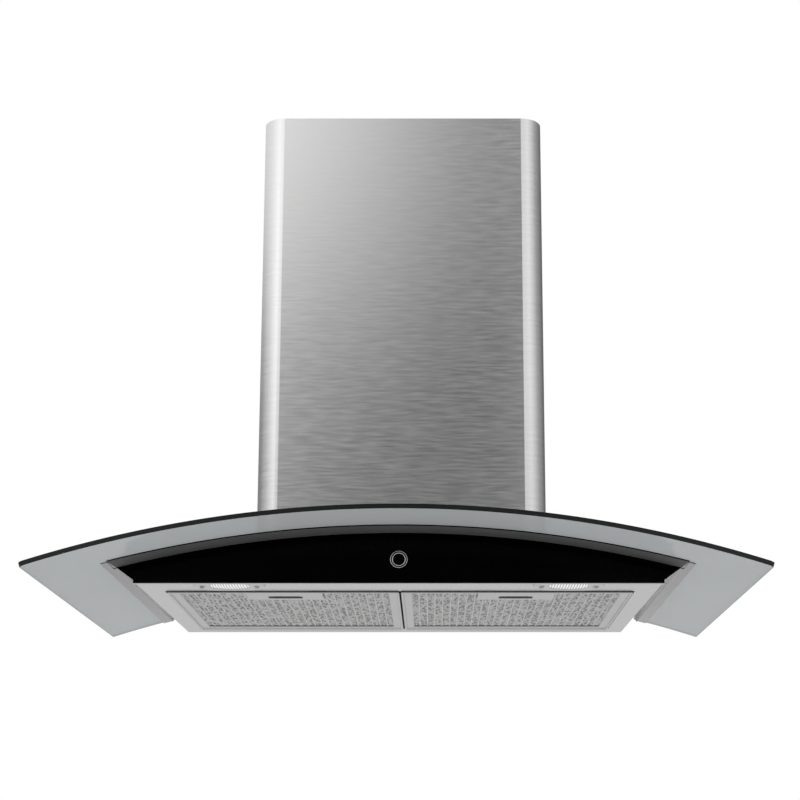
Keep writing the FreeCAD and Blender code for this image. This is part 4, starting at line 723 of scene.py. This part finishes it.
def strip_along(name, x, profile, heights, material, slot):
    """A thin strip: a closed (y, z) profile carried across the hood at given heights."""
    y, z = np.asarray(profile).T
    points = np.stack([x[:, None] + 0 * y, y + 0 * x[:, None],
                       z + np.broadcast_to(heights, x.shape)[:, None]], -1)
    count = len(y)
    last = (len(x) - 1) * count
    faces = grid_faces(len(x), count, closed=True).tolist()
    faces += [list(range(count))[::-1], list(range(last, last + count))]
    return place_mesh(name, points.reshape(-1, 3), faces, "hood", MATERIALS[material], slot,
                      smooth=False)


def panel_foot_strip():
    """The bright strip under the black panel's foot, straight along x."""
    x = np.linspace(-PANEL_FOOT_HALF, PANEL_FOOT_HALF, 5)
    profile = [(PANEL_FACE, 0), (PANEL_FACE, -0.0004), (PANEL_FACE + 0.0003, -0.0007),
               (PANEL_FACE + 0.0037, -0.0007), (PANEL_FACE + 0.0037, 0)]
    return strip_along("panel_foot_strip", x, profile, PANEL_FOOT, "trim",
                       "brushed_steel")


def painted_shadow_bead():
    """A thin near-black bead along the seal's front edge, which follows the glass's arc:
    painted shadow of the gap between the glass and the seal.
    """
    x = np.linspace(-SEAL_HALF, SEAL_HALF, 61)
    profile = [(-0.4226, -0.0001), (-0.4226, -0.0009), (-0.4221, -0.0012),
               (-0.4221, -0.0001)]
    return strip_along("painted_shadow_bead", x, profile, arc_height(x, GLASS_RADIUS - GLASS_THICK),
                       "black_glass", "rubber")


# ---------------------------------------------------------------- stage

# The brightness of the round wall: a row for each height in metres, a column for each
# bearing in degrees. The values were set in rounds until the chimney's steel had the
# photo's gradient in the photo's view. They aren't measured light.
WALL_RADIUS = 4.2
SHADE_BEARINGS = (-180, -165, -110, -68, -29, -11, -7.5, -6, -1, 4, 6.5, 9, 40, 60, 84, 115,
                  135, 180)
SHADE_HEIGHTS = (0.2, 0.95, 1.2, 1.55, 1.9, 2.3, 3.5)
SHADES = (
    (0.30, 0.30, 0.38, 0.62, 0.85, 0.60, 0.40, 0.36, 0.32, 0.26, 0.30, 0.70, 0.82, 0.72,
     0.52, 0.32, 0.26, 0.26),
    (0.25, 0.25, 0.29, 0.70, 1.50, 0.80, 0.06, 0.00, 0.02, 0.00, 0.06, 1.08, 1.24, 0.95,
     0.52, 0.30, 0.17, 0.17),
    (0.29, 0.30, 0.34, 0.80, 1.58, 0.92, 0.16, 0.06, 0.06, 0.02, 0.08, 1.10, 1.26, 0.95,
     0.52, 0.30, 0.17, 0.17),
    (0.41, 0.42, 0.64, 1.10, 1.70, 1.16, 0.66, 0.56, 0.36, 0.09, 0.10, 1.12, 1.28, 0.95,
     0.52, 0.30, 0.17, 0.17),
    (0.60, 0.62, 1.00, 1.40, 1.82, 1.56, 1.34, 1.20, 0.74, 0.18, 0.14, 1.14, 1.30, 0.95,
     0.52, 0.30, 0.18, 0.18),
    (0.76, 0.78, 1.32, 1.56, 1.90, 1.80, 1.80, 1.68, 1.02, 0.20, 0.14, 1.14, 1.30, 0.95,
     0.52, 0.30, 0.20, 0.20),
    (0.58, 0.58, 0.72, 0.78, 0.84, 0.84, 0.84, 0.80, 0.62, 0.36, 0.36, 0.74, 0.78, 0.70,
     0.52, 0.36, 0.32, 0.32),
)


CAMERA_LENS, CAMERA_SHIFT, CAMERA_TILT = 74.69, (-0.0414, 0.1508), 12
CAMERA_PLACE = (0.03636, -2.1125, -0.3026 + TRAY)
LAMP_TARGET = (0, -0.2, 0.1)


def surroundings():
    """An even world, white behind the hood and in its metal and glass."""
    world = bpy.data.worlds.new("even_light")
    bpy.context.scene.world = world
    world.use_nodes = True
    tree = world.node_tree
    sky = tree.nodes["Background"]
    sky.inputs["Color"].default_value = (0.80, 0.80, 0.80, 1)
    white = tree.nodes.new("ShaderNodeBackground")
    white.inputs["Color"].default_value = (1, 1, 1, 1)
    path = tree.nodes.new("ShaderNodeLightPath")
    seen = path.outputs["Is Camera Ray"]
    for ray in ("Is Glossy Ray", "Is Transmission Ray"):
        either = tree.nodes.new("ShaderNodeMath")
        either.operation = "MAXIMUM"
        tree.links.new(seen, either.inputs[0])
        tree.links.new(path.outputs[ray], either.inputs[1])
        seen = either.outputs[0]
    mix = tree.nodes.new("ShaderNodeMixShader")
    tree.links.new(seen, mix.inputs["Fac"])
    tree.links.new(sky.outputs[0], mix.inputs[1])
    tree.links.new(white.outputs[0], mix.inputs[2])
    tree.links.new(mix.outputs[0], tree.nodes["World Output"].inputs["Surface"])


def pale_floor():
    """A plain pale floor far below the hood, which hangs on a wall."""
    paint = Finish("pale_floor", (0.86, 0.86, 0.86), roughness=0.8)
    paint.tint(paint.noise((2, 2, 2), detail=3), (0.85, 0.85, 0.85), (0.87, 0.87, 0.87))
    size, level = 14.0, -2.7
    mesh = bpy.data.meshes.new("floor")
    mesh.from_pydata([(-size, -size, level), (size, -size, level), (size, size, level),
                      (-size, size, level)], [], [(0, 1, 2, 3)])
    mesh.materials.append(paint.material)
    floor = bpy.data.objects.new("floor", mesh)
    bpy.context.scene.collection.objects.link(floor)


def studio_wall():
    """A round wall of soft light that only polished metal and glass reflect.

    Its brightness is read from SHADES between the bearings of its columns and the
    heights of its rows, first along each row and then between rows. The bearing is 0
    in front of the hood and grows towards its right."""
    bearings = np.radians(np.arange(-180, 180, 2.0))
    heights = np.linspace(-0.6, 4.2, 25)
    rows = np.array([np.interp(np.degrees(bearings), SHADE_BEARINGS, shades)
                     for shades in SHADES])
    share = np.clip(np.interp(heights, SHADE_HEIGHTS, np.arange(len(rows))), 0, len(rows) - 1)
    below = np.minimum(share.astype(int), len(rows) - 2)
    part = (share - below)[:, None]
    level = rows[below] * (1 - part) + rows[below + 1] * part
    x = np.sin(bearings) * WALL_RADIUS + 0 * heights[:, None]
    y = -np.cos(bearings) * WALL_RADIUS + 0 * heights[:, None]
    z = heights[:, None] + 0 * x
    mesh = bpy.data.meshes.new("studio_wall")
    mesh.from_pydata(np.stack([x, y, z], -1).reshape(-1, 3).tolist(), [],
                     grid_faces(len(heights), len(bearings), closed=True).tolist())
    glow_level = mesh.attributes.new("glow_level", "FLOAT", "POINT")
    glow_level.data.foreach_set("value", level.ravel())
    material = bpy.data.materials.new("studio_wall")
    material.use_nodes = True
    tree = material.node_tree
    tree.nodes.clear()
    reader = tree.nodes.new("ShaderNodeAttribute")
    reader.attribute_name = "glow_level"
    glow = tree.nodes.new("ShaderNodeEmission")
    out = tree.nodes.new("ShaderNodeOutputMaterial")
    tree.links.new(reader.outputs["Fac"], glow.inputs["Strength"])
    tree.links.new(glow.outputs[0], out.inputs["Surface"])
    mesh.materials.append(material)
    wall = bpy.data.objects.new("studio_wall", mesh)
    wall.visible_camera = wall.visible_diffuse = wall.visible_shadow = False
    wall.visible_transmission = False
    bpy.context.scene.collection.objects.link(wall)


def soft_lamp(name, place, wide, tall, glow):
    """A soft rectangular light turned to the hood, by the brightness of its face."""
    data = bpy.data.lights.new(name, "AREA")
    data.shape, data.size, data.size_y = "RECTANGLE", wide, tall
    data.energy = glow * math.pi * wide * tall
    lamp = bpy.data.objects.new(name, data)
    bpy.context.scene.collection.objects.link(lamp)
    lamp.location = place
    lamp.visible_glossy = False
    away = Vector(place) - Vector(LAMP_TARGET)
    lamp.rotation_euler = away.to_track_quat("Z", "Y").to_euler()


def camera():
    """The photograph's view: from below and in front, a little to the right."""
    data = bpy.data.cameras.new("camera")
    data.lens, data.sensor_width = CAMERA_LENS, 36
    data.shift_x, data.shift_y = CAMERA_SHIFT
    data.clip_start, data.clip_end = 0.05, 60
    viewer = bpy.data.objects.new("camera", data)
    viewer.location = CAMERA_PLACE
    viewer.rotation_euler = (math.radians(90 + CAMERA_TILT), 0, 0)
    bpy.context.scene.collection.objects.link(viewer)
    bpy.context.scene.camera = viewer


def build():
    """Sets the stage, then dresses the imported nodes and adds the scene's own pieces."""
    bpy.context.scene.view_settings.view_transform = "Standard"
    surroundings()
    pale_floor()
    studio_wall()
    soft_lamp("soft_lamp_left", (-2.1, -3.6, 1.5), wide=1.1, tall=2.6, glow=1.7)
    soft_lamp("soft_lamp_right", (2.7, -3.2, 1.3), wide=1.0, tall=2.4, glow=1.1)
    camera()
    finish_cad_nodes()
    glass_canopy()
    for side in SIDES:
        filter_face(side)
        filter_frame(side)
        lamp_bezel(side)
        lamp_lens(side)
        latch_coil(side)
    push_button()
    button_sleeve()
    panel_foot_strip()
    painted_shadow_bead()


build()
